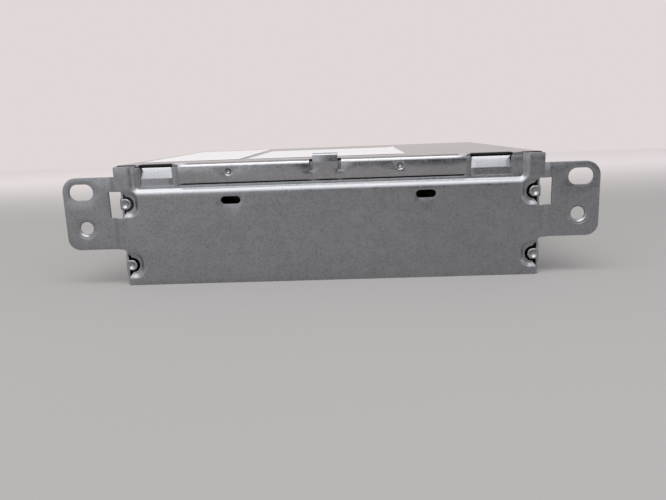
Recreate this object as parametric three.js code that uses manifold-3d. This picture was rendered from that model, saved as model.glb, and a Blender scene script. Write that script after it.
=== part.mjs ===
// A slim steel-cased car radio unit: a plain pressed front with mounting ears, a folded cover, rear sockets,
// a finned cooler and a small fan. Millimetres, +Z up, the front faces -Y.
// The origin is on the underside, below the middle of the whole unit.
import * as THREE from "three";
import { mergeVertices } from "three/addons/utils/BufferGeometryUtils.js";
import Module from "manifold-3d";

// Sheet metal, gaps and cuts
const sheet = 1;
const coverSheet = 0.9;
const seat = 0.25; // gap between pieces that touch
const running = 0.6; // gap round the turning rotor
const overrun = 3; // how far a cut runs past a face
const bendInside = 0.5; // inside radius of a bend
const pressGrowth = 0.45; // how much wider a pressed form is on its back
const weld = 1e-4; // points nearer than this are one point
const arcSteps = 2;
const roundSides = 16;
const smallSides = 12;
const screwSides = 8;
const roundShare = 0.98; // a round end fills this much of its height

// Case
const caseHeight = 51.2;
const caseDepth = 154; // front face to the outer face of the rear plate
const wallSpan = 175.6; // across the outer faces of the side plates
const cornerProud = 1.2; // how far the front plate's upper corners stand past the side plates
const cornerRound = 0.8;

// Ears of the front plate
const earWidth = 25.45; // from the edge of the plate's face
const earDrop = 4.6; // from the top of the case
const earBottom = 15.8;
const earSetback = 1.3;
const earUpperRadius = 6;
const earLowerRadius = 5;
const earRootRadius = 2;
const earSlotInset = 7.9; // slot and hole centres, from the ear's outer edge
const earSlotDrop = 6.1;
const earSlotWidth = 10.3;
const earSlotHeight = 6.8;
const earHoleInset = 8.4;
const earHoleHeightShare = 0.3765; // from the ear's lower edge to the slot's middle
const earHoleDiameter = 6.5;
const earRingDiameter = 9;
const earRingDepth = 0.3;
const earNotchWidth = 5.85;
const earNotchAbove = 5.3; // above and below the upper lug's middle
const earNotchBelow = 5.8;

// Sunk strip along the top of the front plate, with its two windows
const recessDepth = 1.6;
const recessSlant = 1.2;
const recessHeight = 10.9;
const recessEdge = 5.25; // from the end of the strip to the edge of the plate's face
const recessRadius = 2.4;
const windowSill = 2.1;
const leftWindowInset = 9.8; // window centres, from the end of the strip
const leftWindowWidth = 13.4;
const rightWindowInset = 13.8;
const rightWindowWidth = 16.4;
const tabSideGap = 0.35;
const tabRoot = 0.5;
const tabSetback = 1.2;
const tabUpright = 2.8;
const tabLean = 4.2;

// Slots of the front face
const faceSlotX = 40.6;
const faceSlotDrop = 4.8; // below the sunk strip
const faceSlotWidth = 8.2;
const faceSlotHeight = 3.2;

// Lugs of the side plates and the pockets they lie in
const lugReach = 5.2; // in from the side plate's outer face
const lugRadius = 2.6;
const upperLugDrop = 11.5; // below the ear's upper edge
const lowerLugZ = 8.75;
const lugInset = 0.1;
const pocketRoom = 2.1; // past the lug's round end
const pocketHeight = 9.5;
const pocketRadius = 3.4;
const pocketSlant = 0.8;
const punchRadius = 1;
const punchDepth = 0.5;

// Cover
const flangeLeftGap = 2.8; // from the windows to the ends of the front flange
const flangeRightGap = 1.9;
const flangeRise = 3.2; // above the lower edge of the sunk strip
const sideFlangeDepth = 10.6;
const dimpleRise = 3.8; // above the flange's lower edge
const leftDimpleInset = 21; // from the ends of the front flange
const rightDimpleInset = 27.3;
const dimpleRadius = 1.5;
const dimpleDepth = 0.6;
const tongueLeft = -5.8;
const tongueRight = 4.6;
const tongueProud = 2.2; // above the cover
const tongueRise = 3; // its root, above the flange's lower edge
const tongueNotch = 1.35;
const tongueReach = 6;
const tongueForward = 0.35;
const tongueJogLowDrop = 2.6; // the jog's ends, below the cover's top
const tongueJogHighDrop = 0.8;
const punchHoleRadius = 1.2;
const punchInset = 7.8;
const outerPunchInset = 2.8;
const nearPunchY = 39;
const farPunchY = 89;
const outerPunchY = 91;

// Side plates
const flangeWidth = 10;
const flangeStart = 12; // the top and bottom flanges begin this far behind the front face
const rearFlangeWidth = 9;
const bracketHoleDiameter = 5;
const bracketHoleShares = [0.24, 0.72];
const bracketHoleHeightShares = [0.3, 0.72];

// Labels on the cover
const labelThickness = 0.15;
const labelGap = 0.05;
const labelSpacing = 5;
const leftLabelInset = 4.3;
const leftLabelFrontMargin = 21;
const leftLabelRearMargin = 15;
const leftLabelTurn = 0.014;
const centreLabelX = -0.5;
const centreLabelFrontMargin = 20;
const centreLabelWidth = 70;
const centreLabelDepth = 84;
const centreLabelTurn = -0.01;

// Screws
const screwShaft = 1.5;
const screwHead = 2.9;
const screwHeadHeight = 1.6;
const screwLength = 6;
const flatHeadHeight = 0.9;
const driveWidth = 0.6;
const driveLength = 2.6;
const driveDepth = 0.8;
const coverScrewFrontY = 39;
const coverScrewRearY = 90;
const coverScrewDrop = 5.6;
const baseScrewInset = 24;
const rearScrewInsetX = 5;
const rearScrewLowZ = 12;
const rearScrewDrop = 10.2;

// Base plate
const standoffTop = 6;
const standoffFootRadius = 5.4;
const standoffHeadRadius = 3.4;
const standoffInsetX = 14;
const standoffInsetY = 14;
const ribRise = 0.9;
const ribWidth = 7;
const ribInset = 20;
const ribSpacing = 46;
const ventLength = 22;
const ventWidth = 2.4;
const ventSpacing = 6;
const ventCount = 5;
const ventX = -22;
const ventY = 112;

// Main board
const boardThickness = 1.6;
const boardSideGap = 3;
const boardFrontGap = 12;
const boardRearGap = 3;

// Heat sink
const sinkBase = 4;
const sinkBottom = 6;
const sinkDrop = 5.2;
const finLength = 12;
const finThickness = 1.6;
const finCount = 7;
const pedestalInset = 2;
const pedestalLowGap = 3.2; // from the screws' middles
const pedestalHighGap = 4.8;
const pedestalReach = 5;
const sinkScrewInset = 4.2;

// Fan
const fanMargin = 5.6; // above and below the fan
const fanDepth = 10.5;
const fanCornerRadius = 4;
const ductWall = 1.2;
const hubRadius = 9.2;
const fanHubPlate = 1.8;
const strutWidth = 2.4;
const strutCount = 3;
const shaftRadius = 1.5;
const bladeCount = 7;
const bladeThickness = 1.1;
const bladeChord = 8.4;
const bladePitch = Math.PI / 4.6;
const rotorFrontGap = 0.8;
const fanScrewInset = 4;

// Main harness socket
const harnessBottom = 8.4;
const harnessHeight = 28;
const harnessReach = 8.5;
const harnessInside = 9;
const harnessWall = 1.5;
const harnessUpperShare = 0.42; // of the height inside the walls, the three upper chambers
const harnessUpperCount = 3;
const contactPlate = 1.6;
const bladePinWidth = 2.8;
const pinWidth = 0.8;
const pinReach = 9.5;
const powerPinCount = 5;
const signalPinCount = 3;
const pinRowShare = 0.22; // of the chamber height, each pin row from the middle

// Aerial sockets
const aerialCount = 3;
const aerialSpacing = 0.9;
const aerialBodyHeight = 11;
const aerialBodyDepth = 12;
const aerialTubeInset = 0.3;
const aerialTubeWall = 0.8;
const aerialReach = 9.5;
const aerialPin = 0.5;
const aerialPinReach = 4;

// Data sockets on the upper board
const dataInset = 2.1; // from the outer side of the first aerial socket
const dataSpacing = 2.3;
const dataMargin = 9.9;
const dataHeight = 7;
const dataWall = 0.8;
const dataInside = 14;
const dataReach = 5.5;
const dataTongue = 1.8;
const dataTongueInset = 1;
const dataFloor = 2;

// Upper board with its pillars and link
const upperBoardZ = 27;
const upperBoardOverhang = 0.3;
const upperBoardMargin = 7.4;
const upperBoardDepth = 40;
const upperBoardThickness = 1.2;
const pillarRadius = 2.6;
const pillarInset = 4;
const linkInset = 5;
const linkDepth = 5;

// Pieces on the main board
const processorScrewGap = 4.8;
const processorEndShare = 0.227; // of the board's half width, the can's inner end
const processorFrontGap = 15; // from the board's front edge
const processorDepth = 42;
const processorHeight = 7;
const tunerMargin = 2.8;
const tunerWidthShare = 0.4535; // of the board's half width
const tunerPlaceShare = 0.545; // of the case's depth
const tunerDepth = 30;
const tunerHeight = 12;
const canSheet = 0.5;
const canFoldRadius = 1.2;
const chipInset = 0.5;
const chipDepth = 4.5;
const chipLift = 1.2;
const chipLeadCount = 13;
const chipLeadWidth = 0.8;
const clampSheet = 0.8;
const clampWidth = 14;
const clampScrewDrop = 4; // below the pedestal's upper edge
const clampFootShare = 0.62; // of the chip's height
const clampStepDrop = 7; // below the screw
const clampStepGap = 1; // above the chip
const largeCapacitorRadius = 8;
const largeCapacitorHeight = 26;
const largeCapacitorXShares = [0.0716, 0.31]; // of the board's half width
const largeCapacitorYShare = 0.727; // of the case's depth
const smallCapacitorRadius = 5;
const smallCapacitorHeight = 16;
const smallCapacitorXShares = [-0.143, 0.024];
const smallCapacitorYShare = 0.5455;
const capacitorRim = 0.5;
const capacitorGroove = 0.4;
const capacitorGrooveZ = 2.6;
const coilXShare = 0.31;
const coilYShare = 0.5325;
const coilWidth = 15;
const coilHeight = 10;
const coilCore = 5.4;
const coilFlange = 1.6;
const fanPlugRearGap = 16; // from the rear plate's outer face
const fanPlugWidth = 9;
const fanPlugDepth = 6;
const fanPlugHeight = 7;
const fanPlugWall = 1;

// How the heat sink, the harness socket and the aerial sockets share the rear, beside the fan
const rearRowShares = { sink: 1.7, harness: 2.1, aerials: 1.53 };
const sinkMargin = 8.8; // from the side plates' inner faces
const aerialMargin = 10.5;
const sinkGap = 4.5;
const fanGap = 1.7;
const harnessGap = 1.5;

// Places worked out from these sizes
const overallDepth = caseDepth + seat + sinkBase + finLength;
const frontY = -overallDepth / 2;
const rearY = frontY + caseDepth;
const wallOuter = wallSpan / 2;
const wallInner = wallOuter - sheet;
const plateEdge = wallInner - seat;
const cornerEdge = wallOuter + cornerProud;
const earOuter = plateEdge + earWidth;
const earTop = caseHeight - earDrop;
const earSlotX = earOuter - earSlotInset;
const earSlotZ = earTop - earSlotDrop;
const earHoleX = earOuter - earHoleInset;
const earHoleZ = earBottom + (earSlotZ - earBottom) * earHoleHeightShare;
const lugX = wallOuter - lugReach + lugRadius;
const upperLugZ = earTop - upperLugDrop;
const pocketInner = lugX - lugRadius - pocketRoom;
const recessBottom = caseHeight - recessHeight;
const recessHalf = plateEdge - recessEdge;
const windowBottom = recessBottom + windowSill;
const leftWindow = { centre: leftWindowInset - recessHalf, width: leftWindowWidth };
const rightWindow = { centre: recessHalf - rightWindowInset, width: rightWindowWidth };
const flangeLeft = leftWindow.centre + leftWindow.width / 2 + flangeLeftGap;
const flangeRight = rightWindow.centre - rightWindow.width / 2 - flangeRightGap;
const flangeBottom = recessBottom + flangeRise;
const earFaceY = frontY + earSetback;
const behindEars = earFaceY + sheet + seat;
const stripFaceY = frontY + recessDepth;
const behindStrip = stripFaceY + sheet + seat;
const lugFaceY = frontY + lugInset;
const pocketDepth = lugInset + sheet + seat;
const coverUnderZ = caseHeight - coverSheet;
const topFlangeZ = coverUnderZ - seat - sheet / 2;
const bottomFlangeZ = sheet + seat + sheet / 2;
const rearInnerY = rearY - sheet;
const rearOuterY = rearY + seat;
const boardBottom = standoffTop + seat;
const boardTop = boardBottom + boardThickness;
const boardHalf = wallInner - boardSideGap;
const boardFront = frontY + boardFrontGap;
const boardRear = rearInnerY - boardRearGap;
const fanSize = caseHeight - fanMargin * 2;
const ductRadius = fanSize / 2 - ductWall;
const fanZ = caseHeight / 2;
const fanRearY = rearOuterY + fanDepth;
const rotorFront = rearOuterY + rotorFrontGap;
const rotorRear = fanRearY - fanHubPlate - running;
const rearGaps = sinkMargin + sinkGap + fanGap + harnessGap + aerialMargin;
const rearRoom = wallInner * 2 - rearGaps - fanSize;
const rearShareSum = Object.values(rearRowShares).reduce((sum, share) => sum + share);
const sinkWidth = (rearRoom * rearRowShares.sink) / rearShareSum;
const harnessWidth = (rearRoom * rearRowShares.harness) / rearShareSum;
const aerialRowWidth = (rearRoom * rearRowShares.aerials) / rearShareSum;
const sinkX = sinkMargin + sinkWidth / 2 - wallInner;
const fanX = sinkX + sinkWidth / 2 + sinkGap + fanSize / 2;
const harnessX = fanX + fanSize / 2 + fanGap + harnessWidth / 2;
const aerialLeft = harnessX + harnessWidth / 2 + harnessGap;
const aerialPitch = (aerialRowWidth + aerialSpacing) / aerialCount;
const aerialBodyWidth = aerialPitch - aerialSpacing;
const aerialFirst = aerialLeft + aerialBodyWidth / 2;
const aerialX = Array.from({ length: aerialCount }, (_, i) => aerialFirst + i * aerialPitch);
const aerialTube = aerialBodyWidth / 2 - aerialTubeInset;
const aerialBore = aerialTube - aerialTubeWall;
const dataSpan = [aerialLeft + dataInset, wallInner - dataMargin];
const dataWidth = (dataSpan[1] - dataSpan[0] - dataSpacing) / 2;
const dataX = [dataSpan[0] + dataWidth / 2, dataSpan[1] - dataWidth / 2];
const sinkTop = caseHeight - sinkDrop;
const coverScrewSideZ = caseHeight - coverScrewDrop;

// Materials
const finish = (metalness) => (color, roughness) =>
  new THREE.MeshStandardMaterial({ color, roughness, metalness, flatShading: true });
const metal = finish(0.9);
const plain = finish(0);
const faceSteel = metal(0x9a9ca2, 0.38);
const caseSteel = metal(0xa4a5a9, 0.36);
const coverSteel = metal(0xb4b3b5, 0.34);
const screwSteel = metal(0x4c4a48, 0.42);
const castAluminium = metal(0x8f9092, 0.55);
const tinPlate = metal(0xb9bbbd, 0.3);
const blackPlastic = plain(0x1b1c1e, 0.5);
const fanPlastic = plain(0x232426, 0.45);
const paper = plain(0xf2ecee, 0.62);
const boardGreen = plain(0x1f5137, 0.5);
const chipBlack = plain(0x19191a, 0.55);
const canSleeve = plain(0x22283a, 0.4);
const contactTin = metal(0xc9c4b4, 0.32);
const ferrite = plain(0x34343a, 0.6);
const ivory = plain(0xe6e0cf, 0.5);
const aerialColours = [plain(0x2d5fae, 0.45), plain(0x8a4a9e, 0.45), plain(0xd9cfae, 0.45)];

// Solid tools

const wasm = await Module();
wasm.setup();

// A closed geometry as a solid that can be joined and cut.
function solid(geometry) {
  geometry.deleteAttribute("normal");
  geometry.deleteAttribute("uv");
  const merged = mergeVertices(geometry, weld);
  const triVerts = new Uint32Array(merged.index.array);
  const vertProperties = merged.attributes.position.array;
  return new wasm.Manifold(new wasm.Mesh({ numProp: 3, vertProperties, triVerts }));
}

const join = (...solids) => solids.flat().reduce((whole, next) => whole.add(next));
const cut = (whole, ...tools) => tools.flat().reduce((rest, tool) => rest.subtract(tool), whole);

// A box between two x, two y and two z values, each pair in either order.
function block([x0, x1], [y0, y1], [z0, z1]) {
  const box = new THREE.BoxGeometry(Math.abs(x1 - x0), Math.abs(y1 - y0), Math.abs(z1 - z0));
  return solid(box.translate((x0 + x1) / 2, (y0 + y1) / 2, (z0 + z1) / 2));
}

// A closed outline of [u, v, radius] corners, with an arc at each corner that has a radius.
function roundedShape(corners) {
  const shape = new THREE.Shape();
  corners.forEach(([u, v, radius = 0], i) => {
    const here = new THREE.Vector2(u, v);
    const reachPoint = ({ x, y }) => (i === 0 ? shape.moveTo(x, y) : shape.lineTo(x, y));
    if (radius === 0) {
      reachPoint(here);
      return;
    }
    const before = new THREE.Vector2(...corners.at(i - 1)).sub(here).normalize();
    const after = new THREE.Vector2(...corners[(i + 1) % corners.length]).sub(here).normalize();
    const half = Math.acos(THREE.MathUtils.clamp(before.dot(after), -1, 1)) / 2;
    const reach = radius / Math.tan(half);
    const centre = before.clone().add(after).setLength(radius / Math.sin(half)).add(here);
    const start = before.clone().multiplyScalar(reach).add(here);
    reachPoint(start);
    start.sub(centre);
    const end = after.clone().multiplyScalar(reach).add(here).sub(centre);
    const turnsRight = before.cross(after) > 0;
    shape.absarc(centre.x, centre.y, radius, start.angle(), end.angle(), turnsRight);
  });
  return shape;
}

// The points of a shape, without those that fall on their neighbour.
function pointsOf(shape) {
  const points = shape.getPoints(arcSteps);
  return points.filter((point, i) => point.distanceTo(points.at(i - 1)) > weld);
}

// The section of a bent sheet: the corners of its middle line, rounded at each bend.
function bentSheet(line, thickness) {
  const corners = line.map(([u, v]) => new THREE.Vector2(u, v));
  const last = corners.length - 1;
  const side = (sign) =>
    corners.map((here, i) => {
      const into = (i === 0 ? corners[1].clone().sub(here) : here.clone().sub(corners[i - 1])).normalize();
      const out = (i === last ? into.clone() : corners[i + 1].clone().sub(here)).normalize();
      const intoLeft = new THREE.Vector2(-into.y, into.x);
      const mitre = new THREE.Vector2(-out.y, out.x).add(intoLeft).normalize();
      const place = mitre.clone().multiplyScalar((sign * thickness) / 2 / mitre.dot(intoLeft)).add(here);
      const isEnd = i === 0 || i === last;
      const isInside = into.cross(out) * sign > 0;
      return [place.x, place.y, isEnd ? 0 : isInside ? bendInside : bendInside + thickness];
    });
  return roundedShape([...side(-1), ...side(1).reverse()]);
}

// A shape of x and y, from z0 up to z1.
function slabXY(shape, z0, z1) {
  const options = { depth: z1 - z0, bevelEnabled: false, curveSegments: arcSteps };
  return solid(new THREE.ExtrudeGeometry(shape, options).translate(0, 0, z0));
}

// A shape of x and z, from y0 back to y1.
function slabXZ(shape, y0, y1) {
  const options = { depth: y1 - y0, bevelEnabled: false, curveSegments: arcSteps };
  return solid(new THREE.ExtrudeGeometry(shape, options).rotateX(Math.PI / 2).translate(0, y1, 0));
}

// A shape of y and z, from x0 across to x1.
function slabYZ(shape, x0, x1) {
  const options = { depth: x1 - x0, bevelEnabled: false, curveSegments: arcSteps };
  const geometry = new THREE.ExtrudeGeometry(shape, options).rotateY(Math.PI / 2).rotateX(Math.PI / 2);
  return solid(geometry.translate(x0, 0, 0));
}

// A solid that runs from a lower outline to an upper one, along z, both with as many points.
function loft(lower, z0, upper, z1) {
  const below = pointsOf(lower);
  const above = pointsOf(upper);
  const count = below.length;
  const positions = [...below.map((p) => [p.x, p.y, z0]), ...above.map((p) => [p.x, p.y, z1])];
  const turnsLeft = THREE.ShapeUtils.area(below) > 0;
  const faces = [];
  for (const [a, b, c] of THREE.ShapeUtils.triangulateShape(below, [])) {
    const isLeft = THREE.ShapeUtils.area([below[a], below[b], below[c]]) > 0;
    faces.push(isLeft ? [a, c, b] : [a, b, c]);
    faces.push(isLeft ? [a + count, b + count, c + count] : [a + count, c + count, b + count]);
  }
  below.forEach((_, i) => {
    const next = (i + 1) % count;
    const quad = turnsLeft ? [i, next, next + count, i + count] : [next, i, i + count, next + count];
    faces.push([quad[0], quad[1], quad[2]], [quad[0], quad[2], quad[3]]);
  });
  const geometry = new THREE.BufferGeometry();
  geometry.setAttribute("position", new THREE.Float32BufferAttribute(positions.flat(), 3));
  geometry.setIndex(faces.flat());
  return geometry;
}

// The same between a front outline and a back one, both of x and z.
const loftXZ = (front, y0, back, y1) => solid(loft(back, -y1, front, -y0).rotateX(Math.PI / 2));
const loftXY = (lower, z0, upper, z1) => solid(loft(lower, z0, upper, z1));

// An upright cone or cylinder from z0 with radius r0 to z1 with radius r1.
function taperZ(x, y, z0, r0, z1, r1 = r0, sides = roundSides) {
  const cone = new THREE.CylinderGeometry(r1, r0, z1 - z0, sides).rotateX(Math.PI / 2);
  return solid(cone.translate(x, y, (z0 + z1) / 2));
}

const roundZ = (x, y, radius, z0, z1, sides = roundSides) => taperZ(x, y, z0, radius, z1, radius, sides);

// A cylinder along y.
function roundY(x, z, radius, y0, y1, sides = roundSides) {
  const rod = new THREE.CylinderGeometry(radius, radius, y1 - y0, sides);
  return solid(rod.translate(x, (y0 + y1) / 2, z));
}

// A cylinder along x.
function roundX(y, z, radius, x0, x1, sides = smallSides) {
  const rod = new THREE.CylinderGeometry(radius, radius, Math.abs(x1 - x0), sides).rotateZ(Math.PI / 2);
  return solid(rod.translate((x0 + x1) / 2, y, z));
}

// An oblong of u and v with round ends.
function oblong(u, v, width, height) {
  const radius = (Math.min(width, height) / 2) * roundShare;
  const corner = (a, b) => [u + (a * width) / 2, v + (b * height) / 2, radius];
  return roundedShape([corner(-1, -1), corner(1, -1), corner(1, 1), corner(-1, 1)]);
}

// A rectangle of u and v with rounded corners.
function rectangle(u, v, width, height, radius) {
  const corner = (a, b) => [u + (a * width) / 2, v + (b * height) / 2, radius];
  return roundedShape([corner(-1, -1), corner(1, -1), corner(1, 1), corner(-1, 1)]);
}

// The ball that sinks a round dimple into a face that looks to -Y.
function dimpleBall(x, z, faceY, radius, depth) {
  const ball = (radius * radius + depth * depth) / (2 * depth);
  const sphere = new THREE.SphereGeometry(ball, roundSides, roundSides / 2);
  return solid(sphere.translate(x, faceY + depth - ball, z));
}

const mirrored = (corners) => corners.map(([x, ...rest]) => [-x, ...rest]).reverse();

const radio = new THREE.Group();

// Adds one named piece, at a place and turned if need be.
function add(name, made, material, place = [0, 0, 0], turn = [0, 0, 0]) {
  const { vertProperties, triVerts } = made.getMesh();
  const geometry = new THREE.BufferGeometry();
  geometry.setAttribute("position", new THREE.Float32BufferAttribute(vertProperties, 3));
  geometry.setIndex(new THREE.Uint32BufferAttribute(triVerts, 1));
  geometry.computeVertexNormals();
  const mesh = new THREE.Mesh(geometry, material);
  mesh.name = name;
  mesh.position.set(...place);
  mesh.rotation.set(...turn);
  radio.add(mesh);
}

// Screw places, shared by the screws and the holes they pass

const both = [-1, 1];
const coverScrewYs = [frontY + coverScrewFrontY, frontY + coverScrewRearY];
const baseScrewX = wallInner - flangeWidth / 2;
const baseScrewYs = [frontY + baseScrewInset, rearY - baseScrewInset];
const rearScrewX = wallInner - rearScrewInsetX;
const rearScrewZs = [rearScrewLowZ, caseHeight - rearScrewDrop];
const standoffX = boardHalf - standoffInsetX;
const standoffYs = [boardFront + standoffInsetY, boardRear - standoffInsetY];
const sinkScrewZs = [sinkBottom + sinkScrewInset, sinkTop - sinkScrewInset];
const pedestalWidth = sinkWidth - pedestalInset * 2;
const pedestalBottom = sinkScrewZs[0] + pedestalLowGap;
const pedestalTop = sinkScrewZs[1] - pedestalHighGap;
const clampScrewZ = pedestalTop - clampScrewDrop;
const clampStepZ = clampScrewZ - clampStepDrop;
const fanScrewOffset = fanSize / 2 - fanScrewInset;
const shaftHole = screwShaft + seat;

// Front plate

// The form that a press stroke leaves: what stands out behind, and the hollow in front.
function pressed(outlineAt, depth, slant) {
  const rate = slant / depth;
  const from = outlineAt(pressGrowth + (rate * sheet) / 2);
  const boss = loftXZ(from, frontY + sheet / 2, outlineAt(pressGrowth - slant), frontY + sheet + depth);
  const hollow = loftXZ(outlineAt(rate * overrun), frontY - overrun, outlineAt(-slant), frontY + depth);
  return { boss, hollow };
}

function recessOutline(grow) {
  const half = recessHalf + grow;
  const low = recessBottom - grow;
  const high = caseHeight + overrun;
  const lower = [[-half, low, recessRadius], [half, low, recessRadius]];
  return roundedShape([...lower, [half, high], [-half, high]]);
}

function pocketOutline(side, z) {
  return (grow) => {
    const inner = (pocketInner - grow) * side;
    const outer = (cornerEdge + overrun) * side;
    const low = z - pocketHeight / 2 - grow;
    const high = z + pocketHeight / 2 + grow;
    const rounded = [[inner, low, pocketRadius], [inner, high, pocketRadius]];
    return roundedShape([[outer, low], ...rounded, [outer, high]]);
  };
}

// The tab that a window leaves, bent back and leaning away from the front.
function windowTab({ centre, width }) {
  const stripMiddle = stripFaceY + sheet / 2;
  const set = stripMiddle + tabSetback;
  const bendZ = windowBottom + tabUpright;
  const line = [
    [stripMiddle, windowBottom - tabRoot],
    [set, windowBottom - tabRoot + tabSetback],
    [set, bendZ],
    [set + tabLean, bendZ + tabLean],
  ];
  const half = width / 2 - tabSideGap;
  return slabYZ(bentSheet(line, sheet), centre - half, centre + half);
}

function frontPlate() {
  const middleY = frontY + sheet / 2;
  const earLine = [
    [cornerEdge, middleY],
    [cornerEdge + earSetback, middleY + earSetback],
    [earOuter + overrun, middleY + earSetback],
  ];
  const section = bentSheet([...mirrored(earLine), ...earLine], sheet);
  const rightEdge = [
    [plateEdge, 0],
    [plateEdge, earBottom, earRootRadius],
    [earOuter, earBottom, earLowerRadius],
    [earOuter, earTop, earUpperRadius],
    [cornerEdge, earTop],
    [cornerEdge, caseHeight, cornerRound],
  ];
  const silhouette = roundedShape([...rightEdge, ...mirrored(rightEdge)]);
  const envelope = slabXZ(silhouette, frontY - overrun, behindStrip + overrun);

  const forms = [pressed(recessOutline, recessDepth, recessSlant)];
  for (const side of both) {
    for (const z of [upperLugZ, lowerLugZ]) {
      forms.push(pressed(pocketOutline(side, z), pocketDepth, pocketSlant));
    }
  }
  let plate = join(slabXY(section, 0, caseHeight), forms.map(({ boss }) => boss)).intersect(envelope);
  plate = cut(plate, forms.map(({ hollow }) => hollow));

  const through = [frontY - overrun, behindStrip + overrun];
  const stripHalf = recessHalf - recessSlant;
  plate = cut(plate, block([-stripHalf, stripHalf], through, [coverUnderZ - seat, caseHeight + overrun]));
  for (const { centre, width } of [leftWindow, rightWindow]) {
    const span = [centre - width / 2, centre + width / 2];
    plate = cut(plate, block(span, through, [windowBottom, caseHeight + overrun]));
  }
  plate = join(plate, windowTab(leftWindow), windowTab(rightWindow));

  const faceSlotZ = recessBottom - faceSlotDrop;
  const notchX = [plateEdge, plateEdge + earNotchWidth];
  const notchZ = [upperLugZ - earNotchBelow, upperLugZ + earNotchAbove];
  for (const side of both) {
    plate = cut(
      plate,
      slabXZ(oblong(faceSlotX * side, faceSlotZ, faceSlotWidth, faceSlotHeight), ...through),
      slabXZ(oblong(earSlotX * side, earSlotZ, earSlotWidth, earSlotHeight), ...through),
      roundY(earHoleX * side, earHoleZ, earHoleDiameter / 2, ...through),
      roundY(earHoleX * side, earHoleZ, earRingDiameter / 2, frontY - overrun, earFaceY + earRingDepth),
      block(notchX.map((x) => x * side), through, notchZ),
    );
  }
  return plate;
}

add("front_plate", frontPlate(), faceSteel);

// Side plates

function sidePlate(side) {
  const wallMiddle = (wallOuter - sheet / 2) * side;
  const flangeEdge = (wallInner - flangeWidth) * side;
  const section = [
    [flangeEdge, topFlangeZ],
    [wallMiddle, topFlangeZ],
    [wallMiddle, bottomFlangeZ],
    [flangeEdge, bottomFlangeZ],
  ];
  const bodyStart = frontY + flangeStart;
  const bodyEnd = rearInnerY - seat;
  const wallLow = sheet + seat;
  const wallHigh = coverUnderZ - seat;
  const wallX = [wallInner * side, wallOuter * side];
  const stepZ = earBottom - earRootRadius - seat;
  const nose = roundedShape([
    [bodyStart + sheet, wallLow],
    [bodyStart + sheet, wallHigh],
    [behindEars, wallHigh],
    [behindEars, stepZ],
    [lugFaceY, stepZ],
    [lugFaceY, wallLow],
  ]);
  const rearFlangeX = [wallInner * side, (wallInner - rearFlangeWidth) * side];
  const rearFlangeY = [bodyEnd - sheet, bodyEnd];
  let plate = join(
    slabXZ(bentSheet(section, sheet), bodyStart, bodyEnd),
    slabYZ(nose, Math.min(...wallX), Math.max(...wallX)),
    block(rearFlangeX, rearFlangeY, [wallLow, wallHigh]),
    block(wallX, rearFlangeY, [wallLow + bendInside + sheet, wallHigh - bendInside - sheet]),
  );
  for (const z of [upperLugZ, lowerLugZ]) {
    const end = (lugX - lugRadius) * side;
    const lug = roundedShape([
      [wallOuter * side, z - lugRadius],
      [end, z - lugRadius, lugRadius * roundShare],
      [end, z + lugRadius, lugRadius * roundShare],
      [wallOuter * side, z + lugRadius],
    ]);
    plate = join(
      plate,
      slabXZ(lug, lugFaceY, lugFaceY + sheet),
      block(wallX, [lugFaceY, behindEars + sheet], [z - lugRadius, z + lugRadius]),
    );
    plate = cut(plate, dimpleBall(lugX * side, z, lugFaceY, punchRadius, punchDepth));
  }
  const acrossWall = [(wallInner - overrun) * side, (wallOuter + overrun) * side];
  for (const depthShare of bracketHoleShares) {
    for (const heightShare of bracketHoleHeightShares) {
      const y = frontY + caseDepth * depthShare;
      plate = cut(plate, roundX(y, caseHeight * heightShare, bracketHoleDiameter / 2, ...acrossWall));
    }
  }
  for (const y of baseScrewYs) {
    plate = cut(plate, roundZ(baseScrewX * side, y, shaftHole, 0, bottomFlangeZ + overrun));
  }
  for (const z of rearScrewZs) {
    plate = cut(plate, roundY(rearScrewX * side, z, shaftHole, bodyEnd - overrun, rearY));
  }
  for (const y of coverScrewYs) plate = cut(plate, roundX(y, coverScrewSideZ, shaftHole, ...acrossWall));
  return plate;
}

add("left_side_plate", sidePlate(-1), caseSteel);
add("right_side_plate", sidePlate(1), caseSteel);

// Base plate

function basePlate() {
  let plate = block([-wallOuter, wallOuter], [frontY + sheet + seat, rearY], [0, sheet]);
  const ribStart = frontY + ribInset;
  const ribLength = caseDepth - ribInset * 2;
  for (const index of [-1, 0, 1]) {
    const rib = (grow) =>
      oblong(index * ribSpacing, ribStart + ribLength / 2, ribWidth + grow * 2, ribLength + grow * 2);
    const rise = loftXY(rib(pressGrowth), sheet / 2, rib(pressGrowth - ribRise), sheet + ribRise);
    const groove = loftXY(rib(0), 0, rib(-ribRise), ribRise);
    plate = cut(join(plate, rise), groove);
  }
  for (const side of both) {
    for (const y of standoffYs) {
      const x = standoffX * side;
      const innerHead = standoffHeadRadius - sheet;
      const innerFoot = standoffFootRadius - sheet;
      const outside = [sheet / 2, standoffFootRadius, standoffTop, standoffHeadRadius];
      plate = join(plate, taperZ(x, y, ...outside, smallSides));
      plate = cut(
        plate,
        taperZ(x, y, 0, innerFoot, standoffTop - sheet, innerHead, smallSides),
        roundZ(x, y, shaftHole, 0, standoffTop + overrun, smallSides),
      );
    }
    for (const y of baseScrewYs) {
      const x = baseScrewX * side;
      plate = cut(
        plate,
        roundZ(x, y, shaftHole, 0, sheet + overrun, smallSides),
        taperZ(x, y, 0, screwHead + seat * 2, flatHeadHeight, shaftHole + seat, smallSides),
      );
    }
  }
  for (let i = 0; i < ventCount; i += 1) {
    const x = ventX + (i - (ventCount - 1) / 2) * ventSpacing;
    plate = cut(plate, slabXY(oblong(x, frontY + ventY, ventWidth, ventLength), -overrun, sheet + overrun));
  }
  return plate;
}

add("base_plate", basePlate(), caseSteel);

// Cover, with its front flange, side flanges and centre tongue

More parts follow.
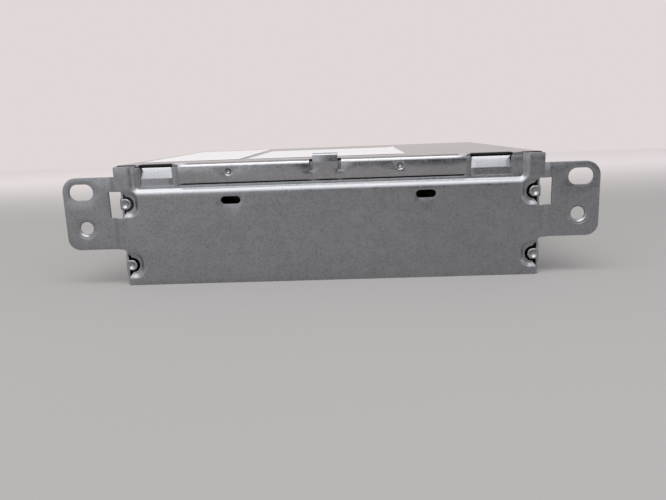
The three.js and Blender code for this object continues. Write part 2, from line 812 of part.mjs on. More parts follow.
function topCover() {
  const topMiddle = caseHeight - coverSheet / 2;
  const flangeMiddle = stripFaceY - seat - coverSheet / 2;
  const sideMiddle = wallOuter + seat + coverSheet / 2;
  const sideBottom = caseHeight - sideFlangeDepth;
  const shell = [
    [-sideMiddle, sideBottom],
    [-sideMiddle, topMiddle],
    [sideMiddle, topMiddle],
    [sideMiddle, sideBottom],
  ];
  const apron = [
    [flangeMiddle, flangeBottom],
    [flangeMiddle, topMiddle],
    [behindStrip + overrun, topMiddle],
  ];
  const edgeHalf = recessHalf - recessSlant - seat;
  let cover = join(
    slabXZ(bentSheet(shell, coverSheet), behindStrip, rearY),
    slabYZ(bentSheet(apron, coverSheet), flangeLeft, flangeRight),
    block([-edgeHalf, edgeHalf], [stripFaceY - seat, behindStrip + overrun], [coverUnderZ, caseHeight]),
  );
  const tongueRoot = flangeBottom + tongueRise;
  const tongueTopMiddle = topMiddle + tongueProud;
  const reliefX = [tongueLeft - tongueNotch, tongueRight + tongueNotch];
  cover = cut(cover, block(reliefX, [frontY - overrun, behindStrip], [tongueRoot, caseHeight + overrun]));
  const forward = flangeMiddle - tongueForward;
  const hook = [
    [flangeMiddle, tongueRoot - coverSheet],
    [flangeMiddle, caseHeight - tongueJogLowDrop],
    [forward, caseHeight - tongueJogHighDrop],
    [forward, tongueTopMiddle],
    [forward + tongueReach, tongueTopMiddle],
  ];
  cover = join(cover, slabYZ(bentSheet(hook, coverSheet), tongueLeft, tongueRight));
  const flangeFace = flangeMiddle - coverSheet / 2;
  for (const x of [flangeLeft + leftDimpleInset, flangeRight - rightDimpleInset]) {
    cover = cut(cover, dimpleBall(x, flangeBottom + dimpleRise, flangeFace, dimpleRadius, dimpleDepth));
  }
  const punchX = wallOuter - punchInset;
  const punchHoles = [
    [punchX, nearPunchY],
    [punchX, farPunchY],
    [outerPunchInset - wallOuter, outerPunchY],
  ];
  for (const [x, y] of punchHoles) {
    cover = cut(cover, roundZ(x, frontY + y, punchHoleRadius, coverUnderZ - overrun, caseHeight + overrun));
  }
  for (const y of coverScrewYs) {
    const reach = sideMiddle + overrun;
    cover = cut(cover, roundX(y, coverScrewSideZ, shaftHole, -reach, -wallInner));
    cover = cut(cover, roundX(y, coverScrewSideZ, shaftHole, wallInner, reach));
  }
  return cover;
}

add("top_cover", topCover(), coverSteel);

// Blank paper labels on the cover

function addLabel(name, [x0, x1], [y0, y1], turn) {
  const slip = slabXY(rectangle(0, 0, x1 - x0, y1 - y0, cornerRound), 0, labelThickness);
  add(name, slip, paper, [(x0 + x1) / 2, (y0 + y1) / 2, caseHeight + labelGap], [0, 0, turn]);
}

const centreLabelLeft = centreLabelX - centreLabelWidth / 2;
const centreLabelFront = frontY + centreLabelFrontMargin;
addLabel(
  "label_left",
  [leftLabelInset - wallOuter, centreLabelLeft - labelSpacing],
  [frontY + leftLabelFrontMargin, rearY - leftLabelRearMargin],
  leftLabelTurn,
);
addLabel(
  "label_centre",
  [centreLabelLeft, centreLabelLeft + centreLabelWidth],
  [centreLabelFront, centreLabelFront + centreLabelDepth],
  centreLabelTurn,
);

// Rear plate with its cut-outs

const harnessMiddleZ = harnessBottom + harnessHeight / 2;
const aerialZ = boardTop + seat + aerialBodyHeight / 2;
const upperBoardTop = upperBoardZ + upperBoardThickness;
const dataZ = upperBoardTop + seat + dataHeight / 2;

function rearPlate() {
  const flangeHalf = wallInner - flangeWidth - seat;
  const section = [
    [rearInnerY - flangeWidth, topFlangeZ],
    [rearY - sheet / 2, topFlangeZ],
    [rearY - sheet / 2, bottomFlangeZ],
    [rearInnerY - flangeWidth, bottomFlangeZ],
  ];
  const wallZ = [sheet + seat + bendInside + sheet, coverUnderZ - seat - bendInside - sheet];
  let plate = join(
    slabYZ(bentSheet(section, sheet), -flangeHalf, flangeHalf),
    block([-plateEdge, plateEdge], [rearInnerY, rearY], wallZ),
  );
  const through = [rearInnerY - overrun, rearY + overrun];
  const pedestalHalf = pedestalWidth / 2 + seat;
  const pedestalX = [sinkX - pedestalHalf, sinkX + pedestalHalf];
  const cutRound = (x, z, width, height) =>
    slabXZ(rectangle(x, z, width + seat * 2, height + seat * 2, cornerRound), ...through);
  plate = cut(
    plate,
    block(pedestalX, through, [pedestalBottom - seat, pedestalTop + seat]),
    roundY(fanX, fanZ, ductRadius, ...through, roundSides * 2),
    cutRound(harnessX, harnessMiddleZ, harnessWidth, harnessHeight),
    aerialX.map((x) => roundY(x, aerialZ, aerialTube + seat, ...through)),
    dataX.map((x) => cutRound(x, dataZ, dataWidth, dataHeight)),
  );
  for (const side of both) {
    for (const z of rearScrewZs) plate = cut(plate, roundY(rearScrewX * side, z, shaftHole, ...through));
    for (const up of both) {
      const x = fanX + fanScrewOffset * side;
      plate = cut(plate, roundY(x, fanZ + fanScrewOffset * up, shaftHole, ...through));
    }
  }
  for (const z of sinkScrewZs) plate = cut(plate, roundY(sinkX, z, shaftHole, ...through));
  return plate;
}

add("rear_plate", rearPlate(), caseSteel);

// Heat sink with upright fins

function heatSink() {
  const half = sinkWidth / 2;
  const baseY = [rearOuterY, rearOuterY + sinkBase];
  const finY = [rearOuterY + sinkBase / 2, rearOuterY + sinkBase + finLength];
  const pedestalX = [sinkX - pedestalWidth / 2, sinkX + pedestalWidth / 2];
  const outline = rectangle(sinkX, (sinkBottom + sinkTop) / 2, sinkWidth, sinkTop - sinkBottom, cornerRound);
  const pedestalY = [rearInnerY - pedestalReach, rearOuterY + sinkBase / 2];
  let sink = join(slabXZ(outline, ...baseY), block(pedestalX, pedestalY, [pedestalBottom, pedestalTop]));
  const pitch = (sinkWidth - finThickness) / (finCount - 1);
  for (let i = 0; i < finCount; i += 1) {
    const x = sinkX - half + i * pitch;
    sink = join(sink, block([x, x + finThickness], finY, [sinkBottom, sinkTop]));
  }
  const clearance = screwHead + seat;
  for (const z of sinkScrewZs) {
    const headY = rearOuterY + sinkBase;
    sink = cut(
      sink,
      roundY(sinkX, z, clearance, headY, headY + finLength + overrun),
      roundY(sinkX, z, shaftHole, rearOuterY - overrun, headY + overrun),
    );
  }
  const clampHoleFrom = rearInnerY - pedestalReach - overrun;
  return cut(sink, roundY(sinkX, clampScrewZ, shaftHole, clampHoleFrom, rearInnerY));
}

add("heat_sink", heatSink(), castAluminium);

// Fan frame: a square duct with a hub plate on three struts

function fanFrame() {
  const plateY = [fanRearY - fanHubPlate, fanRearY];
  let frame = slabXZ(rectangle(fanX, fanZ, fanSize, fanSize, fanCornerRadius), rearOuterY, fanRearY);
  const through = [rearOuterY - overrun, fanRearY + overrun];
  frame = cut(frame, roundY(fanX, fanZ, ductRadius, ...through, roundSides * 2));
  frame = join(frame, roundY(fanX, fanZ, hubRadius, ...plateY));
  for (let i = 0; i < strutCount; i += 1) {
    const angle = (i * Math.PI * 2) / strutCount + Math.PI / 2;
    const strut = new THREE.BoxGeometry(ductRadius, fanHubPlate, strutWidth);
    strut.translate(ductRadius / 2 + sheet, 0, 0).rotateY(-angle);
    strut.translate(fanX, fanRearY - fanHubPlate / 2, fanZ);
    frame = join(frame, solid(strut));
  }
  frame = cut(frame, roundY(fanX, fanZ, shaftRadius + seat, rotorRear, fanRearY - fanHubPlate / 2));
  for (const side of both) {
    for (const up of both) {
      const x = fanX + fanScrewOffset * side;
      const z = fanZ + fanScrewOffset * up;
      frame = cut(frame, roundY(x, z, shaftHole, ...through));
    }
  }
  return frame;
}

add("fan_frame", fanFrame(), fanPlastic);

// Fan rotor, with its origin on the shaft

function fanRotor() {
  const depth = rotorRear - rotorFront;
  const tip = ductRadius - running;
  const root = hubRadius - sheet;
  let rotor = roundY(0, 0, hubRadius - sheet / 2, -depth / 2, depth / 2);
  const shaftEnd = fanRearY - fanHubPlate / 2 - seat - (rotorFront + rotorRear) / 2;
  rotor = join(rotor, roundY(0, 0, shaftRadius, 0, shaftEnd));
  for (let i = 0; i < bladeCount; i += 1) {
    const blade = new THREE.BoxGeometry(tip - root, bladeThickness, bladeChord);
    blade.rotateX(bladePitch).translate((tip + root) / 2, 0, 0).rotateY((-i * Math.PI * 2) / bladeCount);
    rotor = join(rotor, solid(blade));
  }
  const sweep = roundY(0, 0, tip, -depth / 2, shaftEnd, roundSides * 2);
  return rotor.intersect(sweep);
}

add("fan_rotor", fanRotor(), blackPlastic, [fanX, (rotorFront + rotorRear) / 2, fanZ]);

// Main harness socket: one low power chamber under three signal chambers

const harnessLeft = harnessX - harnessWidth / 2;
const harnessMouth = rearY + harnessReach;
const harnessBack = rearInnerY - harnessInside;
const chamberBottom = harnessBottom + harnessWall;
const chambersHeight = harnessHeight - harnessWall * 3;
const upperChamberHeight = chambersHeight * harnessUpperShare;
const powerChamberHeight = chambersHeight - upperChamberHeight;
const powerChamberZ = [chamberBottom, chamberBottom + powerChamberHeight];
const upperChamberZ = [powerChamberZ[1] + harnessWall, powerChamberZ[1] + harnessWall + upperChamberHeight];
const powerChamberX = [harnessLeft + harnessWall, harnessLeft + harnessWidth - harnessWall];
const upperChamberWidth = (harnessWidth - harnessWall * (harnessUpperCount + 1)) / harnessUpperCount;
const upperChamberXs = Array.from({ length: harnessUpperCount }, (_, i) => {
  const start = harnessLeft + harnessWall + i * (upperChamberWidth + harnessWall);
  return [start, start + upperChamberWidth];
});

function harnessSocket() {
  const outer = rectangle(harnessX, harnessMiddleZ, harnessWidth, harnessHeight, cornerRound);
  const through = [harnessBack - overrun, harnessMouth + overrun];
  return cut(
    slabXZ(outer, harnessBack, harnessMouth),
    block(powerChamberX, through, powerChamberZ),
    upperChamberXs.map((span) => block(span, through, upperChamberZ)),
  );
}

function harnessContacts() {
  const plateRear = harnessBack - seat;
  const inset = harnessWall / 2;
  const plateX = [harnessLeft + inset, harnessLeft + harnessWidth - inset];
  const plateZ = [harnessBottom + inset, harnessBottom + harnessHeight - inset];
  let contacts = block(plateX, [plateRear - contactPlate, plateRear], plateZ);
  const pinY = [plateRear - contactPlate / 2, plateRear + pinReach];
  const addRows = (span, zSpan, count, width) => {
    const middleZ = (zSpan[0] + zSpan[1]) / 2;
    const rowOffset = (zSpan[1] - zSpan[0]) * pinRowShare;
    for (let i = 0; i < count; i += 1) {
      const x = span[0] + ((span[1] - span[0]) * (i + 1 / 2)) / count;
      for (const up of both) {
        const z = middleZ + rowOffset * up;
        const pin = block([x - width / 2, x + width / 2], pinY, [z - pinWidth / 2, z + pinWidth / 2]);
        contacts = join(contacts, pin);
      }
    }
  };
  addRows(powerChamberX, powerChamberZ, powerPinCount, bladePinWidth);
  for (const span of upperChamberXs) addRows(span, upperChamberZ, signalPinCount, pinWidth);
  return contacts;
}

add("harness_socket", harnessSocket(), blackPlastic);
add("harness_contacts", harnessContacts(), contactTin);

// Aerial sockets, each with its origin at the middle of its tube, where it meets the rear plate

function aerialSocket() {
  const half = aerialBodyWidth / 2;
  const bodyY = [-aerialBodyDepth - sheet - seat, -sheet - seat];
  const bodyZ = [-aerialBodyHeight / 2, aerialBodyHeight / 2];
  const tube = roundY(0, 0, aerialTube, bodyY[1] - sheet, aerialReach);
  const bore = roundY(0, 0, aerialBore, bodyY[1], aerialReach + overrun);
  const pin = roundY(0, 0, aerialPin, bodyY[1] - sheet, aerialPinReach, roundSides / 2);
  return join(cut(join(block([-half, half], bodyY, bodyZ), tube), bore), pin);
}

aerialX.forEach((x, i) => {
  add("aerial_socket_" + (i + 1), aerialSocket(), aerialColours[i], [x, rearY, aerialZ]);
});

// Data sockets: a tin shell with a short tongue

function dataSocket() {
  const back = -sheet - seat - dataInside;
  const inner = rectangle(0, 0, dataWidth - dataWall * 2, dataHeight - dataWall * 2, cornerRound);
  const shell = cut(
    slabXZ(rectangle(0, 0, dataWidth, dataHeight, cornerRound), back, dataReach),
    slabXZ(inner, back + dataFloor, dataReach + overrun),
  );
  const tongueHalf = dataWidth / 2 - dataWall - dataTongueInset;
  const tongueY = [back + dataFloor / 2, -dataTongueInset];
  return join(shell, block([-tongueHalf, tongueHalf], tongueY, [-dataTongue / 2, dataTongue / 2]));
}

dataX.forEach((x, i) => {
  add("data_socket_" + (i + 1), dataSocket(), tinPlate, [x, rearY, dataZ]);
});

// Circuit boards

function mainBoard() {
  let board = block([-boardHalf, boardHalf], [boardFront, boardRear], [boardBottom, boardTop]);
  for (const side of both) {
    for (const y of standoffYs) {
      board = cut(board, roundZ(standoffX * side, y, shaftHole, boardBottom - overrun, boardTop + overrun));
    }
  }
  return board;
}

add("main_board", mainBoard(), boardGreen);

const upperBoardRear = rearInnerY - boardRearGap;
const upperBoardFront = upperBoardRear - upperBoardDepth;
const upperSpan = [aerialLeft - upperBoardOverhang, wallInner - upperBoardMargin];
const upperBoard = block(upperSpan, [upperBoardFront, upperBoardRear], [upperBoardZ, upperBoardTop]);
add("upper_board", upperBoard, boardGreen);
const pillarY = upperBoardFront + pillarInset;
[upperSpan[0] + pillarInset, upperSpan[1] - pillarInset].forEach((x, i) => {
  const pillar = roundZ(0, 0, pillarRadius, boardTop + seat, upperBoardZ - seat);
  add("board_pillar_" + (i + 1), pillar, contactTin, [x, pillarY, 0]);
});
const linkX = [upperSpan[0] + linkInset, upperSpan[1] - linkInset];
const linkRear = upperBoardRear - aerialBodyDepth - linkDepth;
const linkZ = [boardTop + seat, upperBoardZ - seat];
add("board_link", block(linkX, [linkRear - linkDepth, linkRear], linkZ), ivory);

// Screening cans: folded tin boxes open underneath

function addCan(name, [x0, x1], middleY, depth, height) {
  const outer = (inset) => rectangle(0, 0, x1 - x0 - inset * 2, depth - inset * 2, canFoldRadius);
  const can = cut(slabXY(outer(0), 0, height), slabXY(outer(canSheet), -overrun, height - canSheet));
  add(name, can, tinPlate, [(x0 + x1) / 2, middleY, boardTop + seat]);
}

const processorX = [processorScrewGap - standoffX, -boardHalf * processorEndShare];
const processorY = boardFront + processorFrontGap + processorDepth / 2;
addCan("processor_can", processorX, processorY, processorDepth, processorHeight);
const tunerRight = boardHalf - tunerMargin;
const tunerX = [tunerRight - boardHalf * tunerWidthShare, tunerRight];
addCan("tuner_can", tunerX, frontY + caseDepth * tunerPlaceShare, tunerDepth, tunerHeight);

// Amplifier chip against the heat sink, held by a spring clamp and its screw

const pedestalFace = rearInnerY - pedestalReach;
const chipRear = pedestalFace - seat;
const chipFront = chipRear - chipDepth;
const chipBottom = boardTop + seat + chipLift;
const chipTop = clampStepZ - clampStepGap;
const chipWidth = pedestalWidth - chipInset * 2;

function amplifierChip() {
  let chip = block([-chipWidth / 2, chipWidth / 2], [chipFront, chipRear], [chipBottom, chipTop]);
  const pitch = (chipWidth - chipLeadWidth * 2) / (chipLeadCount - 1);
  for (let i = 0; i < chipLeadCount; i += 1) {
    const x = chipLeadWidth - chipWidth / 2 + i * pitch;
    const y = chipFront + (chipDepth * (1 + (i % 2))) / 3;
    const spanX = [x - chipLeadWidth / 2, x + chipLeadWidth / 2];
    const spanY = [y - chipLeadWidth / 2, y + chipLeadWidth / 2];
    chip = join(chip, block(spanX, spanY, [boardTop + seat, chipBottom + chipLift]));
  }
  return chip;
}

function clamp() {
  const legY = chipFront - seat - clampSheet / 2;
  const footY = pedestalFace - seat - clampSheet / 2;
  const line = [
    [legY, chipBottom + (chipTop - chipBottom) * clampFootShare],
    [legY, clampStepZ],
    [footY, clampStepZ + (footY - legY) / 2],
    [footY, pedestalTop - seat],
  ];
  const half = clampWidth / 2;
  const spring = slabYZ(bentSheet(line, clampSheet), -half, half);
  return cut(spring, roundY(0, clampScrewZ, shaftHole, legY - overrun, pedestalFace));
}

add("amplifier_chip", amplifierChip(), chipBlack, [sinkX, 0, 0]);
add("amplifier_clamp", clamp(), caseSteel, [sinkX, 0, 0]);

// Capacitors, coil and fan plug

function capacitor(radius, height) {
  const waist = radius - capacitorGroove;
  const profile = [
    [0, 0],
    [radius - capacitorRim, 0],
    [radius, capacitorRim],
    [radius, capacitorGrooveZ - capacitorGroove],
    [waist, capacitorGrooveZ],
    [radius, capacitorGrooveZ + capacitorGroove],
    [radius, height - capacitorRim],
    [radius - capacitorRim, height],
    [0, height],
  ].map(([r, z]) => new THREE.Vector2(r, z));
  return solid(new THREE.LatheGeometry(profile, smallSides).rotateX(Math.PI / 2));
}

// A place on the main board, in shares of its half width and of the case's depth.
const onBoard = (xShare, yShare) => [boardHalf * xShare, frontY + caseDepth * yShare, boardTop + seat];

const capacitorPlaces = [
  ...largeCapacitorXShares.map((share) => onBoard(share, largeCapacitorYShare)),
  ...smallCapacitorXShares.map((share) => onBoard(share, smallCapacitorYShare)),
];
capacitorPlaces.forEach((place, i) => {
  const isLarge = i < largeCapacitorXShares.length;
  const made = isLarge
    ? capacitor(largeCapacitorRadius, largeCapacitorHeight)
    : capacitor(smallCapacitorRadius, smallCapacitorHeight);
  add("capacitor_" + (i + 1), made, canSleeve, place);
});

function powerCoil() {
  const plate = rectangle(0, 0, coilWidth, coilWidth, canFoldRadius);
  return join(
    slabXY(plate, 0, coilFlange),
    slabXY(plate, coilHeight - coilFlange, coilHeight),
    roundZ(0, 0, coilCore, coilFlange / 2, coilHeight - coilFlange / 2),
  );
}

add("power_coil", powerCoil(), ferrite, onBoard(coilXShare, coilYShare));

function plugHousing() {
  const span = (width) => [-width / 2, width / 2];
  const box = block(span(fanPlugWidth), span(fanPlugDepth), [0, fanPlugHeight]);
  const well = [span(fanPlugWidth - fanPlugWall * 2), span(fanPlugDepth - fanPlugWall * 2)];
  return cut(box, block(...well, [fanPlugWall, fanPlugHeight + overrun]));
}

add("fan_plug", plugHousing(), ivory, [fanX, rearY - fanPlugRearGap, boardTop + seat]);

// Screws: the head lies at the origin and the shaft runs along -Z

function crossRecess(top) {
  const long = [-driveLength / 2, driveLength / 2];
  const short = [-driveWidth / 2, driveWidth / 2];
  const deep = [top - driveDepth, top + overrun];
  return [block(long, short, deep), block(short, long, deep)];
}

function panScrew(length) {
  const crown = screwHead * roundShare - driveWidth;
  const head = taperZ(0, 0, 0, screwHead, screwHeadHeight, crown, screwSides);
  const shaft = taperZ(0, 0, -length, screwShaft, screwHeadHeight / 3, screwShaft, screwSides);
  return cut(join(head, shaft), crossRecess(screwHeadHeight));
}

function flatScrew(length) {
  const head = taperZ(0, 0, -flatHeadHeight, screwShaft, 0, screwHead, screwSides);
  const shaft = taperZ(0, 0, -length, screwShaft, -flatHeadHeight, screwShaft, screwSides);
  return cut(join(head, shaft), crossRecess(0));
}

const headUp = [0, 0, 0];
const headDown = [Math.PI, 0, 0];
const headBack = [-Math.PI / 2, 0, 0];
const headFront = [Math.PI / 2, 0, 0];
const headLeft = [0, -Math.PI / 2, 0];
const headRight = [0, Math.PI / 2, 0];
const coverSideX = wallOuter + seat + coverSheet + seat;

let count = 0;
for (const side of both) {
  for (const near of [0, 1]) {
    count += 1;
    const coverPlace = [coverSideX * side, coverScrewYs[near], coverScrewSideZ];
    const coverTurn = side < 0 ? headLeft : headRight;
    add("cover_screw_" + count, panScrew(screwLength), screwSteel, coverPlace, coverTurn);
    const basePlace = [baseScrewX * side, baseScrewYs[near], seat / 2];
    add("base_screw_" + count, flatScrew(screwLength - sheet), screwSteel, basePlace, headDown);
    const rearPlace = [rearScrewX * side, rearOuterY, rearScrewZs[near]];
    add("rear_screw_" + count, panScrew(screwLength), screwSteel, rearPlace, headBack);
    const boardPlace = [standoffX * side, standoffYs[near], boardTop + seat];
    add("board_screw_" + count, panScrew(screwLength), screwSteel, boardPlace, headUp);
    const fanScrewZ = fanZ + fanScrewOffset * (near * 2 - 1);
    const fanPlace = [fanX + fanScrewOffset * side, fanRearY + seat, fanScrewZ];
    add("fan_screw_" + count, panScrew(fanDepth + screwLength), screwSteel, fanPlace, headBack);
  }
}
sinkScrewZs.forEach((z, i) => {
  const place = [sinkX, rearOuterY + sinkBase + seat, z];
  add("sink_screw_" + (i + 1), panScrew(sinkBase + screwLength), screwSteel, place, headBack);
});
const clampScrewPlace = [sinkX, pedestalFace - seat - clampSheet - seat, clampScrewZ];
add("clamp_screw", panScrew(clampSheet + pedestalReach), screwSteel, clampScrewPlace, headFront);

export default radio;
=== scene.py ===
"""Looks of a slim steel-cased car radio unit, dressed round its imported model.

The case is satin zinc-plated sheet: a pressed front with mounting ears, a folded cover with a front flange,
side plates whose lugs show through the front, a base and a rear plate. A finned cooler, a small fan and the
sockets stand on the rear. Sizes are in millimetres until a mesh is made; +Z is up and the front faces -Y.
"""

from __future__ import annotations

import logging
import math
from collections.abc import Callable, Iterable, Sequence
from dataclasses import dataclass, field
from enum import Enum

import bpy
import numpy as np
from mathutils import Matrix, Vector
from mathutils.geometry import delaunay_2d_cdt

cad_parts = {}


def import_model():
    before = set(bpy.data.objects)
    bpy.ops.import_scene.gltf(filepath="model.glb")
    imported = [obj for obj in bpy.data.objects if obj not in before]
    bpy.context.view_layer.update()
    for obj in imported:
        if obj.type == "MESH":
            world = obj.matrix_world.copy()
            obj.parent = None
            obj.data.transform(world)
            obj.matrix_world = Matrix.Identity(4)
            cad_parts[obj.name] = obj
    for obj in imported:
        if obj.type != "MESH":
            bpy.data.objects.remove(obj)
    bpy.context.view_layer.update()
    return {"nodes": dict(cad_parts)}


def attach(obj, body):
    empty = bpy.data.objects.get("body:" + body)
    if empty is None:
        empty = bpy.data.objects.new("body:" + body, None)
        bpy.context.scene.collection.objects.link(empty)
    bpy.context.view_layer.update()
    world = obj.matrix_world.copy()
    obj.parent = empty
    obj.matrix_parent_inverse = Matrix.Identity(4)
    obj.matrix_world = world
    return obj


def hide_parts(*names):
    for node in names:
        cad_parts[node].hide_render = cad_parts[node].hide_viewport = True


LOG = logging.getLogger("radio")

MM = 0.001
ARC_STEP = math.radians(10)
SHARP_ANGLE = math.radians(38)
WELD = 1e-4
TINY = 1e-12
ON_AXIS = 1e-6

Point = tuple[float, float]
Loop = list[Point]
Array = np.ndarray
Placing = Callable[[Array], Array]
Relief = Callable[[Array], Array]


# Plane figures


def unit(vectors: Array) -> Array:
    """Each row of an array scaled to length one."""
    length = np.linalg.norm(vectors, axis=-1, keepdims=True)
    return vectors / np.maximum(length, TINY)


def rounded(corners: Sequence[Sequence[float]], step: float = ARC_STEP) -> Loop:
    """Traces a closed outline and rounds those of its corners that have a radius.

    Args:
        corners: (u, v) or (u, v, radius) of each corner, in order.
        step: The most that one side of an arc turns, in radians.

    Returns:
        The points of the outline.
    """
    points: Loop = []
    count = len(corners)
    for index, (u, v, *rest) in enumerate(corners):
        radius = rest[0] if rest else 0.0
        if radius <= 0:
            points.append((u, v))
            continue
        here = np.array([u, v])
        before = unit(np.array(corners[index - 1][:2]) - here)
        after = unit(np.array(corners[(index + 1) % count][:2]) - here)
        half = math.acos(float(np.clip(before @ after, -1, 1))) / 2
        reach = radius / math.tan(half)
        centre = here + unit(before + after) * radius / math.sin(half)
        start = here + before * reach - centre
        end = here + after * reach - centre
        first = math.atan2(start[1], start[0])
        turn = (math.atan2(end[1], end[0]) - first + math.pi) % math.tau - math.pi
        sides = max(1, math.ceil(abs(turn) / step))
        for k in range(sides + 1):
            angle = first + turn * k / sides
            points.append((centre[0] + radius * math.cos(angle), centre[1] + radius * math.sin(angle)))
    return points


def panel(left: float, right: float, low: float, high: float, radii: Sequence[float]) -> Loop:
    """A rectangle by its sides, with the radius of each corner, anticlockwise from the lower left."""
    corners = ((left, low), (right, low), (right, high), (left, high))
    return rounded([(*corner, radius) for corner, radius in zip(corners, radii)])


def rectangle(u: float, v: float, width: float, height: float, radius: float = 0.0) -> Loop:
    """A rectangle round a middle point, with rounded corners."""
    a, b = width / 2, height / 2
    return panel(u - a, u + a, v - b, v + b, (radius,) * 4)


def oblong(u: float, v: float, width: float, height: float) -> Loop:
    """A slot with round ends."""
    return rectangle(u, v, width, height, min(width, height) / 2 * 0.999)


def circle(u: float, v: float, radius: float, sides: int = 40) -> Loop:
    """A circle as a closed outline."""
    angles = [math.tau * k / sides for k in range(sides)]
    return [(u + radius * math.cos(a), v + radius * math.sin(a)) for a in angles]


def moved_in(loop: Loop, distance: float) -> Loop:
    """A closed outline moved to its left side, which is inwards where it runs anticlockwise.

    Args:
        loop: The outline.
        distance: How far it moves.

    Returns:
        The moved outline.
    """
    points = np.array(loop)
    into = unit(points - np.roll(points, 1, 0))
    out = unit(np.roll(points, -1, 0) - points)
    left_in = np.stack([-into[:, 1], into[:, 0]], 1)
    left_out = np.stack([-out[:, 1], out[:, 0]], 1)
    mitre = unit(left_in + left_out)
    stretch = 1 / np.maximum((mitre * left_in).sum(1), 0.4)
    return [tuple(p) for p in points + mitre * (distance * stretch)[:, None]]


def within(points: Array, loop: Loop) -> Array:
    """Says for each point whether it lies inside a closed outline.

    Args:
        points: The points.
        loop: The outline.

    Returns:
        True for each point inside.
    """
    a = np.array(loop)
    b = np.roll(a, -1, 0)
    x, y = points[:, :1], points[:, 1:2]
    crosses = (a[:, 1] > y) != (b[:, 1] > y)
    rise = b[:, 1] - a[:, 1]
    rise = np.where(np.abs(rise) < TINY, TINY, rise)
    at = a[:, 0] + (y - a[:, 1]) * (b[:, 0] - a[:, 0]) / rise
    return (crosses & (x < at)).sum(1) % 2 == 1


def distance_to(points: Array, loops: Iterable[Loop], batch: int = 2000) -> Array:
    """The distance from each point to the nearest of some closed outlines, worked out in batches.

    Args:
        points: The points.
        loops: The outlines.
        batch: How many points go at a time.

    Returns:
        The distances.
    """
    nearest = np.full(len(points), np.inf)
    for loop in loops:
        a = np.array(loop)
        along = np.roll(a, -1, 0) - a
        square = np.maximum((along**2).sum(1), TINY)
        for start in range(0, len(points), batch):
            some = slice(start, start + batch)
            part = points[some, None, :]
            share = np.clip(((part - a) * along).sum(2) / square, 0, 1)
            gap = np.linalg.norm(part - a - along * share[..., None], axis=2).min(1)
            nearest[some] = np.minimum(nearest[some], gap)
    return nearest


def box_distance(points: Array, low: Point, high: Point, radius: float) -> Array:
    """The signed distance from points to a rectangle with rounded corners, below zero inside.

    Args:
        points: The points.
        low: The lower left corner.
        high: The upper right corner.
        radius: The radius of the corners.

    Returns:
        The distances.
    """
    middle = (np.array(low) + np.array(high)) / 2
    half = (np.array(high) - np.array(low)) / 2
    q = np.abs(points - middle) - (half - radius)
    return np.linalg.norm(np.maximum(q, 0), axis=1) + np.minimum(q.max(1), 0) - radius


def soft_ramp(run: Array, length: float, soften: float) -> Array:
    """A ramp from nought to one over a length, with its two corners rounded, as a press leaves a step.

    Args:
        run: How far each point lies past the start.
        length: The length of the slope.
        soften: The length over which each corner is rounded.

    Returns:
        The share of the step at each point.
    """

    def integral(s: Array) -> Array:
        """How far a value has risen on one side of the ramp."""
        inside = np.clip(s, 0, length)
        return inside**2 / (2 * length) + np.maximum(s - length, 0)

    return (integral(run + soften) - integral(run - soften)) / (2 * soften)


@dataclass(frozen=True)
class Press:
    """The profile of a pressed step: it bends in gently outside its outline and lands sharply inside it.

    Attributes:
        depth: How deep the step is.
        lead: How far outside the outline the bend begins.
        slant: How far inside the outline the step ends.
        rise: The width over which the slope steepens.
        tail: The width over which it levels out.
        gentle: How slowly the slope begins.
    """

    depth: float
    lead: float
    slant: float
    rise: float
    tail: float
    gentle: float = 2.0

    def at(self, run: Array) -> Array:
        """The depth at distances inside the outline.

        Args:
            run: The distances.

        Returns:
            The depths.
        """
        places = np.linspace(-self.lead, self.slant, 160)
        up = np.clip((places + self.lead) / self.rise, 0, 1)
        down = np.clip((self.slant - places) / self.tail, 0, 1)
        slope = up**self.gentle * down**2 * (3 - 2 * down)
        level = np.cumsum(slope)
        return np.interp(run, places, self.depth * (level - level[0]) / (level[-1] - level[0]))

    def stops(self, count: int) -> list[float]:
        """Distances inside the outline that a mesh of this step follows."""
        return [self.slant - (self.slant + self.lead) * k / (count - 1) for k in range(count)]


@dataclass
class Section:
    """The face of a bent sheet seen end on: a line of (a, b, radius) corners, followed by its length.

    Attributes:
        corners: The corners in order; the first and the last are the ends.
        axis: The coordinate, 0 for a or 1 for b, that equals the length on the sheet's main run.
        value: A value of that coordinate on the main run.
    """

    corners: list[tuple[float, float, float]]
    axis: int
    value: float
    line: Array = field(init=False)
    stops: Array = field(init=False)

    def __post_init__(self) -> None:
        """Samples the rounded line and measures its length."""
        self.line = np.array(rounded(self.corners, math.radians(15)))
        steps = np.linalg.norm(np.diff(self.line, axis=0), axis=1)
        self.stops = np.concatenate([[0], np.cumsum(steps)])
        self.stops += self.value - self.length_at(self.axis, self.value)

    @property
    def ends(self) -> tuple[float, float]:
        """The lengths at which it starts and ends."""
        return float(self.stops[0]), float(self.stops[-1])

    @property
    def folds(self) -> list[float]:
        """The lengths of the points between its ends."""
        return [float(stop) for stop in self.stops[1:-1]]

    def at(self, length: Array) -> tuple[Array, Array]:
        """The two coordinates of the points at these lengths along the line."""
        return np.interp(length, self.stops, self.line[:, 0]), np.interp(length, self.stops, self.line[:, 1])

    def length_at(self, axis: int, value: float) -> float:
        """The length at which one coordinate first reaches a value.

        Args:
            axis: Which of the two coordinates.
            value: The value that it reaches.

        Returns:
            The length.
        """
        track = self.line[:, axis]
        for k in range(len(track) - 1):
            low, high = sorted((track[k], track[k + 1]))
            if low - 1e-9 <= value <= high + 1e-9 and high - low > 1e-9:
                share = (value - track[k]) / (track[k + 1] - track[k])
                return float(self.stops[k] + share * (self.stops[k + 1] - self.stops[k]))
        return float(self.stops[-1])


# Meshes


